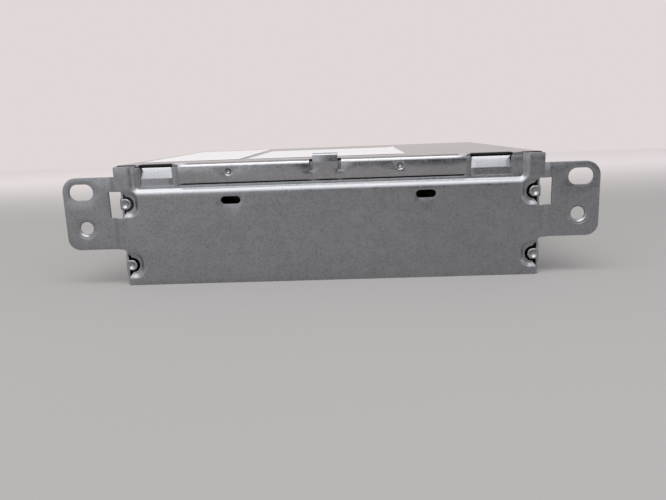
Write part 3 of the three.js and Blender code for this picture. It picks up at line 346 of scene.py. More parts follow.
def divided(line: Loop, is_closed: bool, step: float) -> Loop:
    """A line with points added so that none of its sides is longer than a step.

    Args:
        line: The line.
        is_closed: Whether its end meets its start.
        step: The longest side left.

    Returns:
        The finer line.
    """
    ends = line[1:] + line[:1] if is_closed else line[1:]
    points: Loop = []
    for (a, b), (c, d) in zip(line, ends):
        parts = max(1, math.ceil(math.hypot(c - a, d - b) / step))
        points += [(a + (c - a) * k / parts, b + (d - b) * k / parts) for k in range(parts)]
    return points if is_closed else [*points, line[-1]]


@dataclass
class Blank:
    """A flat blank that becomes a sheet or a slab: its outline, holes and the lines that its mesh follows.

    Attributes:
        outline: The closed outline, anticlockwise.
        holes: Closed outlines of the holes, anticlockwise.
        creases: Lines along bends and pressed forms, each with whether it is closed.
        spacing: The distance between the points that fill the flat areas.
        roll: The radius that punching leaves along the edges.
    """

    outline: Loop
    holes: list[Loop] = field(default_factory=list)
    creases: list[tuple[Loop, bool]] = field(default_factory=list)
    spacing: float = 6.0
    roll: float = 0.15

    def fill(self, loops: list[Loop]) -> Array:
        """Evenly spread points inside the outline that keep clear of every line.

        Args:
            loops: The lines to keep clear of.

        Returns:
            The points.
        """
        outline = np.array(self.outline)
        low, high = outline.min(0), outline.max(0)
        across = np.arange(low[0] + self.spacing / 2, high[0], self.spacing)
        along = np.arange(low[1] + self.spacing / 2, high[1], self.spacing)
        grid = np.stack(np.meshgrid(across, along), -1).reshape(-1, 2)
        grid = grid[within(grid, self.outline)]
        if len(grid) == 0:
            return grid
        return grid[distance_to(grid, loops) > self.spacing * 0.3]

    def cells(self) -> tuple[Array, Array]:
        """Divides the blank into triangles that follow all its lines.

        Returns:
            The points, and the triangles as rows of three indices.
        """
        edges = [self.outline, *self.holes]
        closed = list(edges)
        if self.roll > 0:
            for share in (0.3, 1.0):
                closed.append(moved_in(self.outline, self.roll * share))
                closed.extend(moved_in(hole, -self.roll * share) for hole in self.holes)
        closed.extend(line for line, is_closed in self.creases if is_closed)
        opened = [line for line, is_closed in self.creases if not is_closed]
        points: list[Vector] = []
        links: list[tuple[int, int]] = []
        for lines, is_closed in ((closed, True), (opened, False)):
            for whole in lines:
                line = divided(whole, is_closed, self.spacing)
                base = len(points)
                points.extend(Vector(p) for p in line)
                links.extend((base + k, base + k + 1) for k in range(len(line) - 1))
                if is_closed:
                    links.append((base + len(line) - 1, base))
        points.extend(Vector(p) for p in self.fill([*closed, *opened]))
        made = delaunay_2d_cdt(points, links, [], 0, WELD, False)
        flat = np.array([tuple(p) for p in made[0]], float)
        faces = np.array([f for f in made[2] if len(f) == 3], int)
        middle = flat[faces].mean(1)
        keep = within(middle, self.outline)
        for hole in self.holes:
            keep &= ~within(middle, hole)
        a, b, c = (flat[faces[:, k]] for k in range(3))
        area = (b[:, 0] - a[:, 0]) * (c[:, 1] - a[:, 1]) - (b[:, 1] - a[:, 1]) * (c[:, 0] - a[:, 0])
        faces = np.where((area < 0)[:, None], faces[:, ::-1], faces)[keep & (np.abs(area) > 1e-9)]
        used, index = np.unique(faces, return_inverse=True)
        return flat[used], index.reshape(-1, 3)


def normals_of(points: Array, faces: Array) -> Array:
    """The normal at each point of a triangle mesh.

    Args:
        points: The mesh's points.
        faces: Its triangles.

    Returns:
        One unit vector for each point.
    """
    a, b, c = (points[faces[:, k]] for k in range(3))
    across = np.cross(b - a, c - a)
    total = np.zeros_like(points)
    for k in range(3):
        np.add.at(total, faces[:, k], across)
    return unit(total)


def edge_loops(faces: Array) -> Array:
    """The pairs of points along the free edges of a triangle mesh, in the direction of its faces.

    Args:
        faces: The mesh's triangles.

    Returns:
        The pairs.
    """
    pairs = np.concatenate([faces[:, [0, 1]], faces[:, [1, 2]], faces[:, [2, 0]]])
    key = pairs[:, 0] * (pairs.max() + 1) + pairs[:, 1]
    back = pairs[:, 1] * (pairs.max() + 1) + pairs[:, 0]
    return pairs[~np.isin(key, back)]


def rolled(gap: Array, radius: float) -> Array:
    """How far a rounded edge falls away at a distance from the edge.

    Args:
        gap: The distance of each point from the edge.
        radius: The radius of the edge.

    Returns:
        The fall at each point.
    """
    if radius <= 0:
        return np.zeros_like(gap)
    inside = np.clip(radius - gap, 0, radius)
    return radius - np.sqrt(np.maximum(radius**2 - inside**2, 0))


@dataclass
class Shape:
    """Points in millimetres and faces, to be joined with others and made into an object."""

    points: Array
    faces: list[tuple[int, ...]]

    def moved(self, matrix: Matrix) -> Shape:
        """This shape turned and moved by a matrix.

        Args:
            matrix: The matrix.

        Returns:
            A new shape.
        """
        turned = np.array(matrix, float)
        points = self.points @ turned[:3, :3].T + turned[:3, 3]
        faces = self.faces if matrix.determinant() > 0 else [f[::-1] for f in self.faces]
        return Shape(points, faces)

    def at(self, x: float, y: float, z: float) -> Shape:
        """This shape moved by a distance along each axis."""
        return self.moved(Matrix.Translation((x, y, z)))


def joined(shapes: Iterable[Shape]) -> Shape:
    """Several shapes as one.

    Args:
        shapes: The shapes.

    Returns:
        One shape of all their points and faces.
    """
    points: list[Array] = []
    faces: list[tuple[int, ...]] = []
    count = 0
    for shape in shapes:
        points.append(shape.points)
        faces.extend(tuple(i + count for i in f) for f in shape.faces)
        count += len(shape.points)
    return Shape(np.concatenate(points), faces)


def new_object(name: str, shape: Shape) -> bpy.types.Object:
    """Makes an object of one shape, smooth where its faces meet at a small angle.

    Args:
        name: The piece's name.
        shape: Its points in millimetres and its faces.

    Returns:
        The new object, in the scene.
    """
    mesh = bpy.data.meshes.new(name)
    mesh.from_pydata((np.asarray(shape.points) * MM).tolist(), [], [list(map(int, f)) for f in shape.faces])
    mesh.validate()
    mesh.shade_smooth()
    mesh.set_sharp_from_angle(angle=SHARP_ANGLE)
    obj = bpy.data.objects.new(name, mesh)
    bpy.context.scene.collection.objects.link(obj)
    return obj


def closed(front: Array, back: Array, faces: Array) -> Shape:
    """The solid between two sides that share their triangles, with a rim along their free edges.

    Args:
        front: The points of the outer side.
        back: The points of the inner side.
        faces: The triangles that they share.

    Returns:
        The closed shape.
    """
    count = len(front)
    rim = [(int(b), int(a), int(a) + count, int(b) + count) for a, b in edge_loops(faces)]
    ahead = [tuple(map(int, f)) for f in faces]
    behind = [tuple(int(i) + count for i in f[::-1]) for f in faces]
    return Shape(np.concatenate([front, back]), ahead + behind + rim)


def sheet(
    blank: Blank,
    place: Placing,
    thickness: float,
    relief: Relief | None = None,
    outward: Sequence[float] = (0, 0, 1),
    back_roll: float = 0.0,
    carving: Relief | None = None,
) -> Shape:
    """Forms a blank into a closed sheet or slab.

    Args:
        blank: The flat blank.
        place: Gives each flat point its place on the outer face.
        thickness: How thick the sheet is behind the outer face.
        relief: How deep both faces are pressed in at each flat point.
        outward: The direction that the outer face mostly looks to.
        back_roll: The radius along the edges of the inner face.
        carving: How deep the outer face alone is cut at each flat point.

    Returns:
        The closed shape.
    """
    flat, faces = blank.cells()
    base = place(flat)
    normal = normals_of(base, faces)
    if (normal @ np.array(outward, float)).sum() < 0:
        faces = faces[:, ::-1]
        normal = -normal
    gap = distance_to(flat, [blank.outline, *blank.holes])
    depth = rolled(gap, blank.roll)
    pressed = relief(flat) if relief else np.zeros(len(flat))
    face = base - normal * pressed[:, None]
    true_normal = normals_of(face, faces)
    if carving:
        depth = depth + carving(flat)
    front = base - normal * (pressed + depth)[:, None]
    back = face - true_normal * (thickness - rolled(gap, back_roll))[:, None]
    return closed(front, back, faces)


def slab(
    outline: Loop,
    holes: list[Loop],
    axis: str,
    start: float,
    end: float,
    roll: float = 0.15,
    spacing: float = 30.0,
) -> Shape:
    """A plate of even thickness across one axis, with both its faces' edges rounded.

    Args:
        outline: The closed outline, in the two other axes in the order x, y, z.
        holes: The outlines of its holes.
        axis: The axis that its faces look along.
        start: Where it starts on that axis.
        end: Where it ends.
        roll: The radius of its edges.
        spacing: The distance between the points that fill its faces.

    Returns:
        The closed shape.
    """
    order = {"x": (2, 0, 1), "y": (0, 2, 1), "z": (0, 1, 2)}[axis]
    high = max(start, end)
    outward = {"x": (1, 0, 0), "y": (0, 1, 0), "z": (0, 0, 1)}[axis]

    def place(flat: Array) -> Array:
        """Stands the outline on the upper end of the axis."""
        full = np.column_stack([flat, np.full(len(flat), high)])
        return full[:, order]

    return sheet(Blank(outline, holes, [], spacing, roll), place, abs(end - start), None, outward, roll)


def crowned(blank: Blank, height: Relief, floor: float) -> Shape:
    """A solid whose upper face rises to a height at each flat point and whose lower face is flat.

    Args:
        blank: Its outline and creases.
        height: Gives the height at each flat point.
        floor: The height of its lower face.

    Returns:
        The closed shape.
    """
    flat, faces = blank.cells()
    top = np.column_stack([flat, height(flat)])
    low = np.column_stack([flat, np.full(len(flat), floor)])
    return closed(top, low, faces)


def lathe(profile: Sequence[Point], steps: int = 40) -> Shape:
    """A round body turned about z from its outline.

    Args:
        profile: (radius, height) of each point, from the bottom up outside. It closes on the axis or itself.
        steps: The number of sides.

    Returns:
        The closed shape.
    """
    points: list[tuple[float, float, float]] = []
    rings: list[list[int]] = []
    for radius, height in profile:
        base = len(points)
        if radius < ON_AXIS:
            points.append((0.0, 0.0, height))
            rings.append([base] * steps)
            continue
        for k in range(steps):
            angle = math.tau * k / steps
            points.append((radius * math.cos(angle), radius * math.sin(angle), height))
        rings.append([base + k for k in range(steps)])
    if profile[0][0] > ON_AXIS:
        rings.append(rings[0])
    faces: list[tuple[int, ...]] = []
    for lower, upper in zip(rings, rings[1:]):
        for k in range(steps):
            n = (k + 1) % steps
            corners = [lower[k], lower[n], upper[n], upper[k]]
            distinct = tuple(dict.fromkeys(corners))
            if len(distinct) > 2:
                faces.append(distinct)
    return Shape(np.array(points), faces)


def loft(rings: Sequence[Array]) -> Shape:
    """A body through closed rings of equally many points, with both ends filled.

    Args:
        rings: The rings, in order.

    Returns:
        The closed shape.
    """
    count = len(rings[0])
    faces: list[tuple[int, ...]] = []
    for level in range(len(rings) - 1):
        for k in range(count):
            n = (k + 1) % count
            low, high = level * count, (level + 1) * count
            faces.append((low + k, low + n, high + n, high + k))
    faces.append(tuple(range(count))[::-1])
    faces.append(tuple((len(rings) - 1) * count + k for k in range(count)))
    return Shape(np.concatenate([np.asarray(r, float) for r in rings]), faces)


ALONG = {
    "+x": Matrix.Rotation(math.radians(90), 4, "Y"),
    "-x": Matrix.Rotation(math.radians(-90), 4, "Y"),
    "+y": Matrix.Rotation(math.radians(-90), 4, "X"),
    "-y": Matrix.Rotation(math.radians(90), 4, "X"),
    "+z": Matrix.Identity(4),
    "-z": Matrix.Rotation(math.radians(180), 4, "X"),
}


def spun(profile: Sequence[Point], steps: int, x: float = 0.0, y: float = 0.0, z: float = 0.0) -> Shape:
    """A round body that stands on a place and looks along y."""
    return lathe(profile, steps).moved(ALONG["+y"]).at(x, y, z)


def rounded_disc(radius: float, height: float, roll: float) -> list[Point]:
    """The profile of a disc from z = 0 up, with its upper edge rounded.

    Args:
        radius: The disc's radius.
        height: Its height.
        roll: The radius of its upper edge.

    Returns:
        The radius and height of each point.
    """
    profile = [(0.0, 0.0), (radius, 0.0), (radius, height - roll)]
    for k in range(1, 6):
        angle = math.radians(18 * k)
        profile.append((radius - roll + roll * math.cos(angle), height - roll + roll * math.sin(angle)))
    return [*profile, (0.0, height)]


def turned(loop: Loop, degrees: float) -> Loop:
    """A plane outline turned about the origin."""
    c, s = math.cos(math.radians(degrees)), math.sin(math.radians(degrees))
    return [(u * c - v * s, u * s + v * c) for u, v in loop]


# Finishes


class Grain(Enum):
    """The kinds of fine surface that a finish can have."""

    ZINC = "zinc plated sheet"
    CAST = "die cast metal"
    MOULDED = "moulded plastic"
    PAPER = "label paper"
    RESIST = "solder resist"
    SINTERED = "sintered ferrite"


@dataclass(frozen=True)
class Finish:
    """One finish of the unit.

    Attributes:
        slot: The record's material slot that it stands for.
        colour: Its base colour, linear.
        grain: The kind of fine surface.
        roughness: How rough it is.
        metallic: One for bare metal.
        size: The size of the grain in millimetres.
        depth: The height of the grain in millimetres.
        tint: How much the colour varies.
        wear: How strongly it is nicked and scratched, in scattered spots and patches.
        dust: How much dust lies on what faces up.
        coat: The strength of a clear layer.
    """

    slot: str
    colour: tuple[float, float, float]
    grain: Grain
    roughness: float
    metallic: float = 0.0
    size: float = 0.6
    depth: float = 0.004
    tint: float = 0.1
    wear: float = 0.3
    dust: float = 0.1
    coat: float = 0.0


FACE_STEEL = Finish("face_steel", (0.322, 0.325, 0.338), Grain.ZINC, 0.31, 1.0, 0.8, 0.004, 0.26, 0.4, 0.03)
CASE_STEEL = Finish("case_steel", (0.37, 0.373, 0.382), Grain.ZINC, 0.31, 1.0, 0.8, 0.004, 0.3, 0.4, 0.06)
COVER_STEEL = Finish("cover_steel", (0.39, 0.39, 0.402), Grain.ZINC, 0.2, 1.0, 0.8, 0.0035, 0.26, 0.4, 0.05)
# Painted shadow: a near-black finish for the cover's front cut edges, standing for bare cut steel and for the
# shade in the gap under the cover's edge.
CUT_EDGE_AND_SHADOW = Finish("cut_edge", (0.03, 0.03, 0.032), Grain.ZINC, 0.55, 0.6, 0.3, 0.003, 0.3, 0.2, 0.02)
SCREW_STEEL = Finish("screw_steel", (0.16, 0.155, 0.15), Grain.ZINC, 0.34, 1.0, 0.25, 0.002, 0.2, 0.6, 0.05)
CAST_ALLOY = Finish("cast_aluminium", (0.34, 0.345, 0.35), Grain.CAST, 0.52, 1.0, 0.5, 0.02, 0.2, 0.5, 0.12)
TIN_PLATE = Finish("tin_plate", (0.58, 0.59, 0.6), Grain.ZINC, 0.26, 1.0, 0.3, 0.002, 0.1, 0.3, 0.06)
CONTACT_TIN = Finish("contact_tin", (0.62, 0.58, 0.48), Grain.ZINC, 0.24, 1.0, 0.2, 0.0015, 0.12, 0.3, 0.03)
BLACK_PLASTIC = Finish(
    "black_plastic", (0.012, 0.0125, 0.014), Grain.MOULDED, 0.46, 0, 0.35, 0.006, 0.3, 0.4, 0.12
)
FAN_PLASTIC = Finish("fan_plastic", (0.016, 0.0165, 0.018), Grain.MOULDED, 0.4, 0, 0.3, 0.004, 0.3, 0.4, 0.2)
AERIAL_BLUE = Finish("aerial_blue", (0.027, 0.115, 0.42), Grain.MOULDED, 0.4, 0, 0.3, 0.004, 0.16, 0.25, 0.06)
AERIAL_VIOLET = Finish(
    "aerial_violet", (0.25, 0.07, 0.34), Grain.MOULDED, 0.4, 0, 0.3, 0.004, 0.16, 0.25, 0.06
)
AERIAL_CREAM = Finish("aerial_cream", (0.69, 0.62, 0.43), Grain.MOULDED, 0.4, 0, 0.3, 0.004, 0.1, 0.2, 0.1)
IVORY_PLASTIC = Finish("ivory_plastic", (0.79, 0.75, 0.62), Grain.MOULDED, 0.42, 0, 0.3, 0.004, 0.1, 0.2, 0.1)
LABEL_PAPER = Finish("paper", (0.88, 0.86, 0.865), Grain.PAPER, 0.5, 0, 0.3, 0.004, 0.05, 0.1, 0.06, 0.15)
BOARD_GREEN = Finish(
    "board_green", (0.014, 0.085, 0.04), Grain.RESIST, 0.32, 0, 1.2, 0.006, 0.3, 0.2, 0.1, 0.4
)
CHIP_BLACK = Finish("chip_black", (0.011, 0.011, 0.0115), Grain.MOULDED, 0.5, 0, 0.2, 0.005, 0.3, 0.3, 0.05)
CAN_SLEEVE = Finish(
    "capacitor_sleeve", (0.016, 0.022, 0.045), Grain.MOULDED, 0.3, 0, 0.8, 0.004, 0.2, 0.2, 0.1, 0.3
)
FERRITE = Finish("ferrite", (0.035, 0.035, 0.04), Grain.SINTERED, 0.58, 0, 0.4, 0.015, 0.3, 0.5, 0.1)


@dataclass
class Wiring:
    """Places and joins the nodes of one shader tree."""

    tree: bpy.types.NodeTree

    def add(self, kind: str, values: dict[str | int, object] | None = None, **settings: object) -> bpy.types.Node:
        """Adds one node.

        Args:
            kind: The node's type without its prefix.
            values: What its inputs are given: a plain value, or a socket that is linked to it.
            **settings: Its own settings.

        Returns:
            The node.
        """
        node = self.tree.nodes.new("ShaderNode" + kind)
        for name, value in settings.items():
            setattr(node, name, value)
        for key, value in (values or {}).items():
            if isinstance(value, bpy.types.NodeSocket):
                self.tree.links.new(value, node.inputs[key])
            else:
                node.inputs[key].default_value = value
        return node

    def maths(self, operation: str, a: object, b: object = 0.0, clamp: bool = False) -> bpy.types.NodeSocket:
        """The result of one sum on two values."""
        return self.add("Math", {0: a, 1: b}, operation=operation, use_clamp=clamp).outputs[0]

    def blend(self, share: object, a: object, b: object) -> bpy.types.NodeSocket:
        """Two colours mixed by a share."""
        return self.add("Mix", {0: share, 6: a, 7: b}, data_type="RGBA").outputs[2]

    def total(self, *parts: tuple[object, float]) -> bpy.types.NodeSocket:
        """The sum of some values, each times its share.

        Args:
            *parts: Each value and its share.

        Returns:
            The sum's socket.
        """
        result = self.maths("MULTIPLY", *parts[0])
        for value, share in parts[1:]:
            result = self.maths("ADD", result, self.maths("MULTIPLY", value, share))
        return result

    def swing(self, value: object, gain: object) -> bpy.types.NodeSocket:
        """How far a value lies from its middle, times a gain."""
        return self.maths("MULTIPLY", self.maths("SUBTRACT", value, 0.5), gain)

    def span(
        self, value: object, low: float, high: float, to_low: float = 0.0, to_high: float = 1.0
    ) -> bpy.types.NodeSocket:
        """A value moved smoothly from one span to another."""
        values = {0: value, 1: low, 2: high, 3: to_low, 4: to_high}
        return self.add("MapRange", values, interpolation_type="SMOOTHSTEP").outputs[0]

    def noise(
        self, place: object, scale: object, detail: float = 3.0, rough: float = 0.6
    ) -> bpy.types.NodeSocket:
        """A fractal noise over a place."""
        values = {"Vector": place, "Scale": scale, "Detail": detail, "Roughness": rough}
        return self.add("TexNoise", values).outputs[0]


def shader_group(
    name: str, inputs: dict[str, tuple[str, object]], outputs: dict[str, str]
) -> tuple[Wiring, bpy.types.Node, bpy.types.Node]:
    """Starts a group that several finishes share.

    Args:
        name: The group's name.
        inputs: Each input's socket type and first value.
        outputs: Each output's socket type.

    Returns:
        The group's wiring, and its input and output nodes.
    """
    group = bpy.data.node_groups.new(name, "ShaderNodeTree")
    for label, (kind, value) in inputs.items():
        socket = group.interface.new_socket(label, in_out="INPUT", socket_type="NodeSocket" + kind)
        if value is not None:
            socket.default_value = value
    for label, kind in outputs.items():
        group.interface.new_socket(label, in_out="OUTPUT", socket_type="NodeSocket" + kind)
    return Wiring(group), group.nodes.new("NodeGroupInput"), group.nodes.new("NodeGroupOutput")


SURFACE_INPUTS = {
    "Place": ("Vector", None),
    "Colour": ("Color", (0.5, 0.5, 0.5, 1.0)),
    "Grain size": ("Float", 0.0005),
    "Variation": ("Float", 0.1),
}
SURFACE_OUTPUTS = {"Colour": "Color", "Rough shift": "Float", "Height": "Float"}
WEAR_INPUTS = {"Place": ("Vector", None), "Amount": ("Float", 0.3)}
WEAR_OUTPUTS = {"Nicks": "Float", "Scratches": "Float"}
DUST_INPUTS = {"Place": ("Vector", None), "Amount": ("Float", 0.1)}
DUST_OUTPUTS = {"Mask": "Float"}

Sockets = tuple[object, object, object]


@dataclass
class Skin:
    """Draws the fine surfaces of one group."""

    wiring: Wiring
    place: object
    scale: object

    def zinc(self) -> Sockets:
        """Zinc plating: fine frosting over soft spangles and faint rolling lines.

        Returns:
            The shade, the shift of roughness and the height.
        """
        wiring, place, scale = self.wiring, self.place, self.scale
        frost = wiring.noise(place, scale, 4.0, 0.75)
        cells = wiring.add("TexVoronoi", {"Vector": place, "Scale": wiring.maths("MULTIPLY", scale, 0.22)})
        spangle = wiring.add("SeparateColor", {0: cells.outputs["Color"]}).outputs[0]
        rolling = wiring.add("Mapping", {"Vector": place, "Scale": (1.0, 0.06, 0.06)}).outputs[0]
        lines = wiring.noise(rolling, wiring.maths("MULTIPLY", scale, 0.9), 2.0, 0.5)
        cloud = wiring.noise(place, 34.0, 2.0, 0.5)
        shade = wiring.total((wiring.span(frost, 0.3, 0.7), 0.5), (spangle, 0.16), (lines, 0.14), (cloud, 0.2))
        return shade, wiring.swing(shade, 0.22), wiring.total((frost, 0.8), (spangle, 0.2))

    def cast(self) -> Sockets:
        """A cast or sintered skin: pitted, with cloudy patches.

        Returns:
            The shade, the shift of roughness and the height.
        """
        wiring, place, scale = self.wiring, self.place, self.scale
        skin = wiring.noise(place, scale, 5.0, 0.7)
        cells = wiring.add("TexVoronoi", {"Vector": place, "Scale": wiring.maths("MULTIPLY", scale, 0.6)})
        pits = cells.outputs[0]
        shade = wiring.total((skin, 0.5), (wiring.noise(place, 60.0, 2.0, 0.5), 0.5))
        return shade, wiring.swing(shade, 0.3), wiring.total((skin, 1.0), (wiring.span(pits, 0.05, 0.3), 0.4))

    def moulded(self) -> Sockets:
        """Moulded plastic: a spark-eroded grain with faint flow marks.

        Returns:
            The shade, the shift of roughness and the height.
        """
        grain = self.wiring.noise(self.place, self.scale, 3.0, 0.6)
        values = {"Vector": self.place, "Scale": 40.0, "Detail": 2.0, "Distortion": 1.5}
        flow = self.wiring.add("TexNoise", values).outputs[0]
        shade = self.wiring.total((grain, 0.4), (flow, 0.6))
        return shade, self.wiring.swing(flow, 0.3), self.wiring.span(grain, 0.25, 0.75)

    def paper(self) -> Sockets:
        """Label paper: short pressed fibres under a thin film.

        Returns:
            The shade, the shift of roughness and the height.
        """
        wiring, place = self.wiring, self.place
        one = wiring.add("Mapping", {"Vector": place, "Scale": (1.0, 0.2, 1.0)}).outputs[0]
        two = wiring.add("Mapping", {"Vector": place, "Scale": (0.25, 1.0, 1.0)}).outputs[0]
        fibres = wiring.total((wiring.noise(one, self.scale), 0.5), (wiring.noise(two, self.scale), 0.5))
        shade = wiring.total((fibres, 0.6), (wiring.noise(place, 25.0, 2.0, 0.5), 0.4))
        return shade, wiring.swing(fibres, 0.2), fibres

    def resist(self) -> Sockets:
        """A circuit board: tracks that show lighter through the solder resist.

        Returns:
            The shade, the shift of roughness and the height.
        """
        wiring, place, scale = self.wiring, self.place, self.scale
        values = {"Vector": place, "Scale": wiring.maths("MULTIPLY", scale, 0.35), "Randomness": 0.35}
        cells = wiring.add("TexVoronoi", values, distance="MANHATTAN", feature="F1").outputs[0]
        tracks = wiring.span(wiring.maths("PINGPONG", cells, 0.16), 0.05, 0.09)
        weave = wiring.noise(place, scale, 2.0)
        shade = wiring.total((tracks, 0.7), (weave, 0.3))
        return shade, wiring.swing(weave, 0.2), shade


@dataclass
class Effects:
    """The shader groups that the finishes share, each built once."""

    made: dict[str, bpy.types.NodeTree] = field(default_factory=dict)

    def surface(self, grain: Grain) -> bpy.types.NodeTree:
        """The group for one kind of fine surface.

        Args:
            grain: The kind.

        Returns:
            A group that gives a colour, a shift of roughness and a height.
        """
        if grain.value not in self.made:
            wiring, entry, result = shader_group(grain.value, SURFACE_INPUTS, SURFACE_OUTPUTS)
            scale = wiring.maths("DIVIDE", 1.0, entry.outputs["Grain size"])
            skin = Skin(wiring, entry.outputs["Place"], scale)
            draw = {
                Grain.ZINC: skin.zinc,
                Grain.CAST: skin.cast,
                Grain.MOULDED: skin.moulded,
                Grain.PAPER: skin.paper,
                Grain.RESIST: skin.resist,
                Grain.SINTERED: skin.cast,
            }[grain]
            shade, rough, height = draw()
            swing = wiring.swing(shade, entry.outputs["Variation"])
            gain = wiring.maths("ADD", wiring.maths("MULTIPLY", swing, 2.0), 1.0)
            tone = wiring.add("VectorMath", {0: entry.outputs["Colour"], 3: gain}, operation="SCALE")
            for label, socket in {"Colour": tone.outputs[0], "Rough shift": rough, "Height": height}.items():
                wiring.tree.links.new(socket, result.inputs[label])
            self.made[grain.value] = wiring.tree
        return self.made[grain.value]

    def wear(self) -> bpy.types.NodeTree:
        """The group for handling marks: sparse bright nicks and thin scratches, as masks.

        Returns:
            The group, made on first use.
        """
        if "wear" not in self.made:
            wiring, entry, result = shader_group("wear", WEAR_INPUTS, WEAR_OUTPUTS)
            place, amount = entry.outputs["Place"], entry.outputs["Amount"]
            cells = wiring.add("TexVoronoi", {"Vector": place, "Scale": 190.0})
            pick = wiring.add("SeparateColor", {0: cells.outputs["Color"]}).outputs[1]
            chosen = wiring.maths("GREATER_THAN", pick, 0.86)
            spot = wiring.span(cells.outputs["Distance"], 0.03, 0.07, 1.0, 0.0)
            nicks = wiring.maths("MULTIPLY", wiring.maths("MULTIPLY", spot, chosen), amount)
            values = {"Vector": place, "Rotation": (0.3, 0.5, 0.7), "Scale": (1.0, 0.03, 1.0)}
            thread = wiring.noise(wiring.add("Mapping", values).outputs[0], 900.0, 2.0, 0.5)
            patch = wiring.span(wiring.noise(place, 26.0, 1.0, 0.5), 0.55, 0.7)
            lines = wiring.maths("MULTIPLY", wiring.span(thread, 0.66, 0.7), patch)
            wiring.tree.links.new(nicks, result.inputs["Nicks"])
            wiring.tree.links.new(wiring.maths("MULTIPLY", lines, amount), result.inputs["Scratches"])
            self.made["wear"] = wiring.tree
        return self.made["wear"]

    def dust(self) -> bpy.types.NodeTree:
        """The group for settled dust: a mask that grows where the surface faces up.

        Returns:
            The group, made on first use.
        """
        if "dust" not in self.made:
            wiring, entry, result = shader_group("dust", DUST_INPUTS, DUST_OUTPUTS)
            normal = wiring.add("NewGeometry").outputs["Normal"]
            up = wiring.add("SeparateXYZ", {0: normal}).outputs[2]
            lying = wiring.span(up, -0.2, 0.9, 0.15, 1.0)
            cloud = wiring.span(wiring.noise(entry.outputs["Place"], 120.0, 5.0, 0.65), 0.4, 0.75, 0.2, 1.0)
            settled = wiring.maths("MULTIPLY", lying, cloud)
            mask = wiring.maths("MULTIPLY", settled, entry.outputs["Amount"], True)
            wiring.tree.links.new(mask, result.inputs["Mask"])
            self.made["dust"] = wiring.tree
        return self.made["dust"]


@dataclass
class PaintShop:
    """Mixes each finish once and puts it on the pieces."""

    effects: Effects = field(default_factory=Effects)
    mixed: dict[str, bpy.types.Material] = field(default_factory=dict)

    def material(self, finish: Finish) -> bpy.types.Material:
        """The material of a finish.

        Args:
            finish: The finish.

        Returns:
            Its node material, made on first use.
        """
        if finish.slot in self.mixed:
            return self.mixed[finish.slot]
        material = bpy.data.materials.new(finish.slot)
        material.use_nodes = True
        tree = material.node_tree
        tree.nodes.clear()
        wiring = Wiring(tree)
        place = wiring.add("TexCoord").outputs["Object"]
        surface = wiring.add("Group", node_tree=self.effects.surface(finish.grain))
        surface.inputs["Colour"].default_value = (*finish.colour, 1.0)
        surface.inputs["Grain size"].default_value = finish.size * MM
        surface.inputs["Variation"].default_value = finish.tint
        wear = wiring.add("Group", node_tree=self.effects.wear())
        wear.inputs["Amount"].default_value = finish.wear
        dust = wiring.add("Group", node_tree=self.effects.dust())
        dust.inputs["Amount"].default_value = finish.dust
        for group in (surface, wear, dust):
            tree.links.new(place, group.inputs["Place"])
        bright = (*(min(1.0, c * 1.5 + 0.05) for c in finish.colour), 1.0)
        worn = wiring.blend(wear.outputs["Nicks"], surface.outputs["Colour"], bright)
        scratched = wiring.blend(wear.outputs["Scratches"], worn, bright)
        dusty = wiring.blend(dust.outputs["Mask"], scratched, (0.42, 0.4, 0.37, 1.0))
        rough = wiring.maths("ADD", surface.outputs["Rough shift"], finish.roughness)
        rough = wiring.maths("SUBTRACT", rough, wiring.maths("MULTIPLY", wear.outputs["Scratches"], 0.1))
        rough = wiring.maths("ADD", rough, wiring.maths("MULTIPLY", dust.outputs["Mask"], 0.3), True)
        height = wiring.maths("SUBTRACT", surface.outputs["Height"], wear.outputs["Scratches"])
        bump = wiring.add("Bump", {"Strength": 0.5, "Distance": finish.depth * MM, "Height": height})
        values = {"Base Color": dusty, "Roughness": rough, "Normal": bump.outputs[0]}
        shader = wiring.add("BsdfPrincipled", values)
        shader.inputs["Metallic"].default_value = finish.metallic
        shader.inputs["Coat Weight"].default_value = finish.coat
        shader.inputs["Coat Roughness"].default_value = 0.2
        wiring.add("OutputMaterial", {"Surface": shader.outputs[0]})
        self.mixed[finish.slot] = material
        return material

    def dress(self, obj: bpy.types.Object, finish: Finish) -> bpy.types.Object:
        """Gives a piece its finish.

        Args:
            obj: The piece.
            finish: The finish.

        Returns:
            The same piece.
        """
        material = self.material(finish)
        if obj.data.materials:
            for index in range(len(obj.data.materials)):
                obj.data.materials[index] = material
        else:
            obj.data.materials.append(material)
        return obj

    def piece(self, name: str, node: str, shape: Shape, finish: Finish, body: str = "case") -> bpy.types.Object:
        """Makes a piece, hides the solid that it stands for, hangs the piece on its body and gives it its finish.

        Args:
            name: The piece's name.
            node: The solid that it stands for.
            shape: Its shape.
            finish: Its finish.
            body: The body that it rides on.

        Returns:
            The finished piece.
        """
        obj = new_object(name, shape)
        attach(obj, body)
        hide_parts(node)
        return self.dress(obj, finish)


# The case


@dataclass(frozen=True)
class Case:
    """The places that the sheet parts share, in millimetres."""

    front: float = -85.125
    rear: float = 68.875
    height: float = 51.2
    wall: float = 87.8
    sheet: float = 1.0
    seat: float = 0.25
    cover_sheet: float = 0.9
    recess_depth: float = 1.6
    recess_half: float = 81.3
    recess_bottom: float = 40.3
    recess_slant: float = 1.2
    ear_top: float = 46.6
    ear_bottom: float = 15.8
    ear_setback: float = 1.3
    lug_x: float = 85.2
    lug_radius: float = 2.6
    lug_heights: tuple[float, float] = (35.1, 8.75)
    windows: tuple[tuple[float, float], ...] = ((-78.2, -64.8), (59.3, 75.7))
    window_bottom: float = 42.4
    screw_hole: float = 1.7

    @property
    def under_cover(self) -> float:
        """The height of everything that lies under the cover."""
        return self.height - self.cover_sheet - self.seat


def mirrored(loop: Sequence[Sequence[float]]) -> list[tuple[float, ...]]:
    """Corners mirrored left to right, in reverse order."""
    return [(-u, *rest) for u, *rest in loop][::-1]


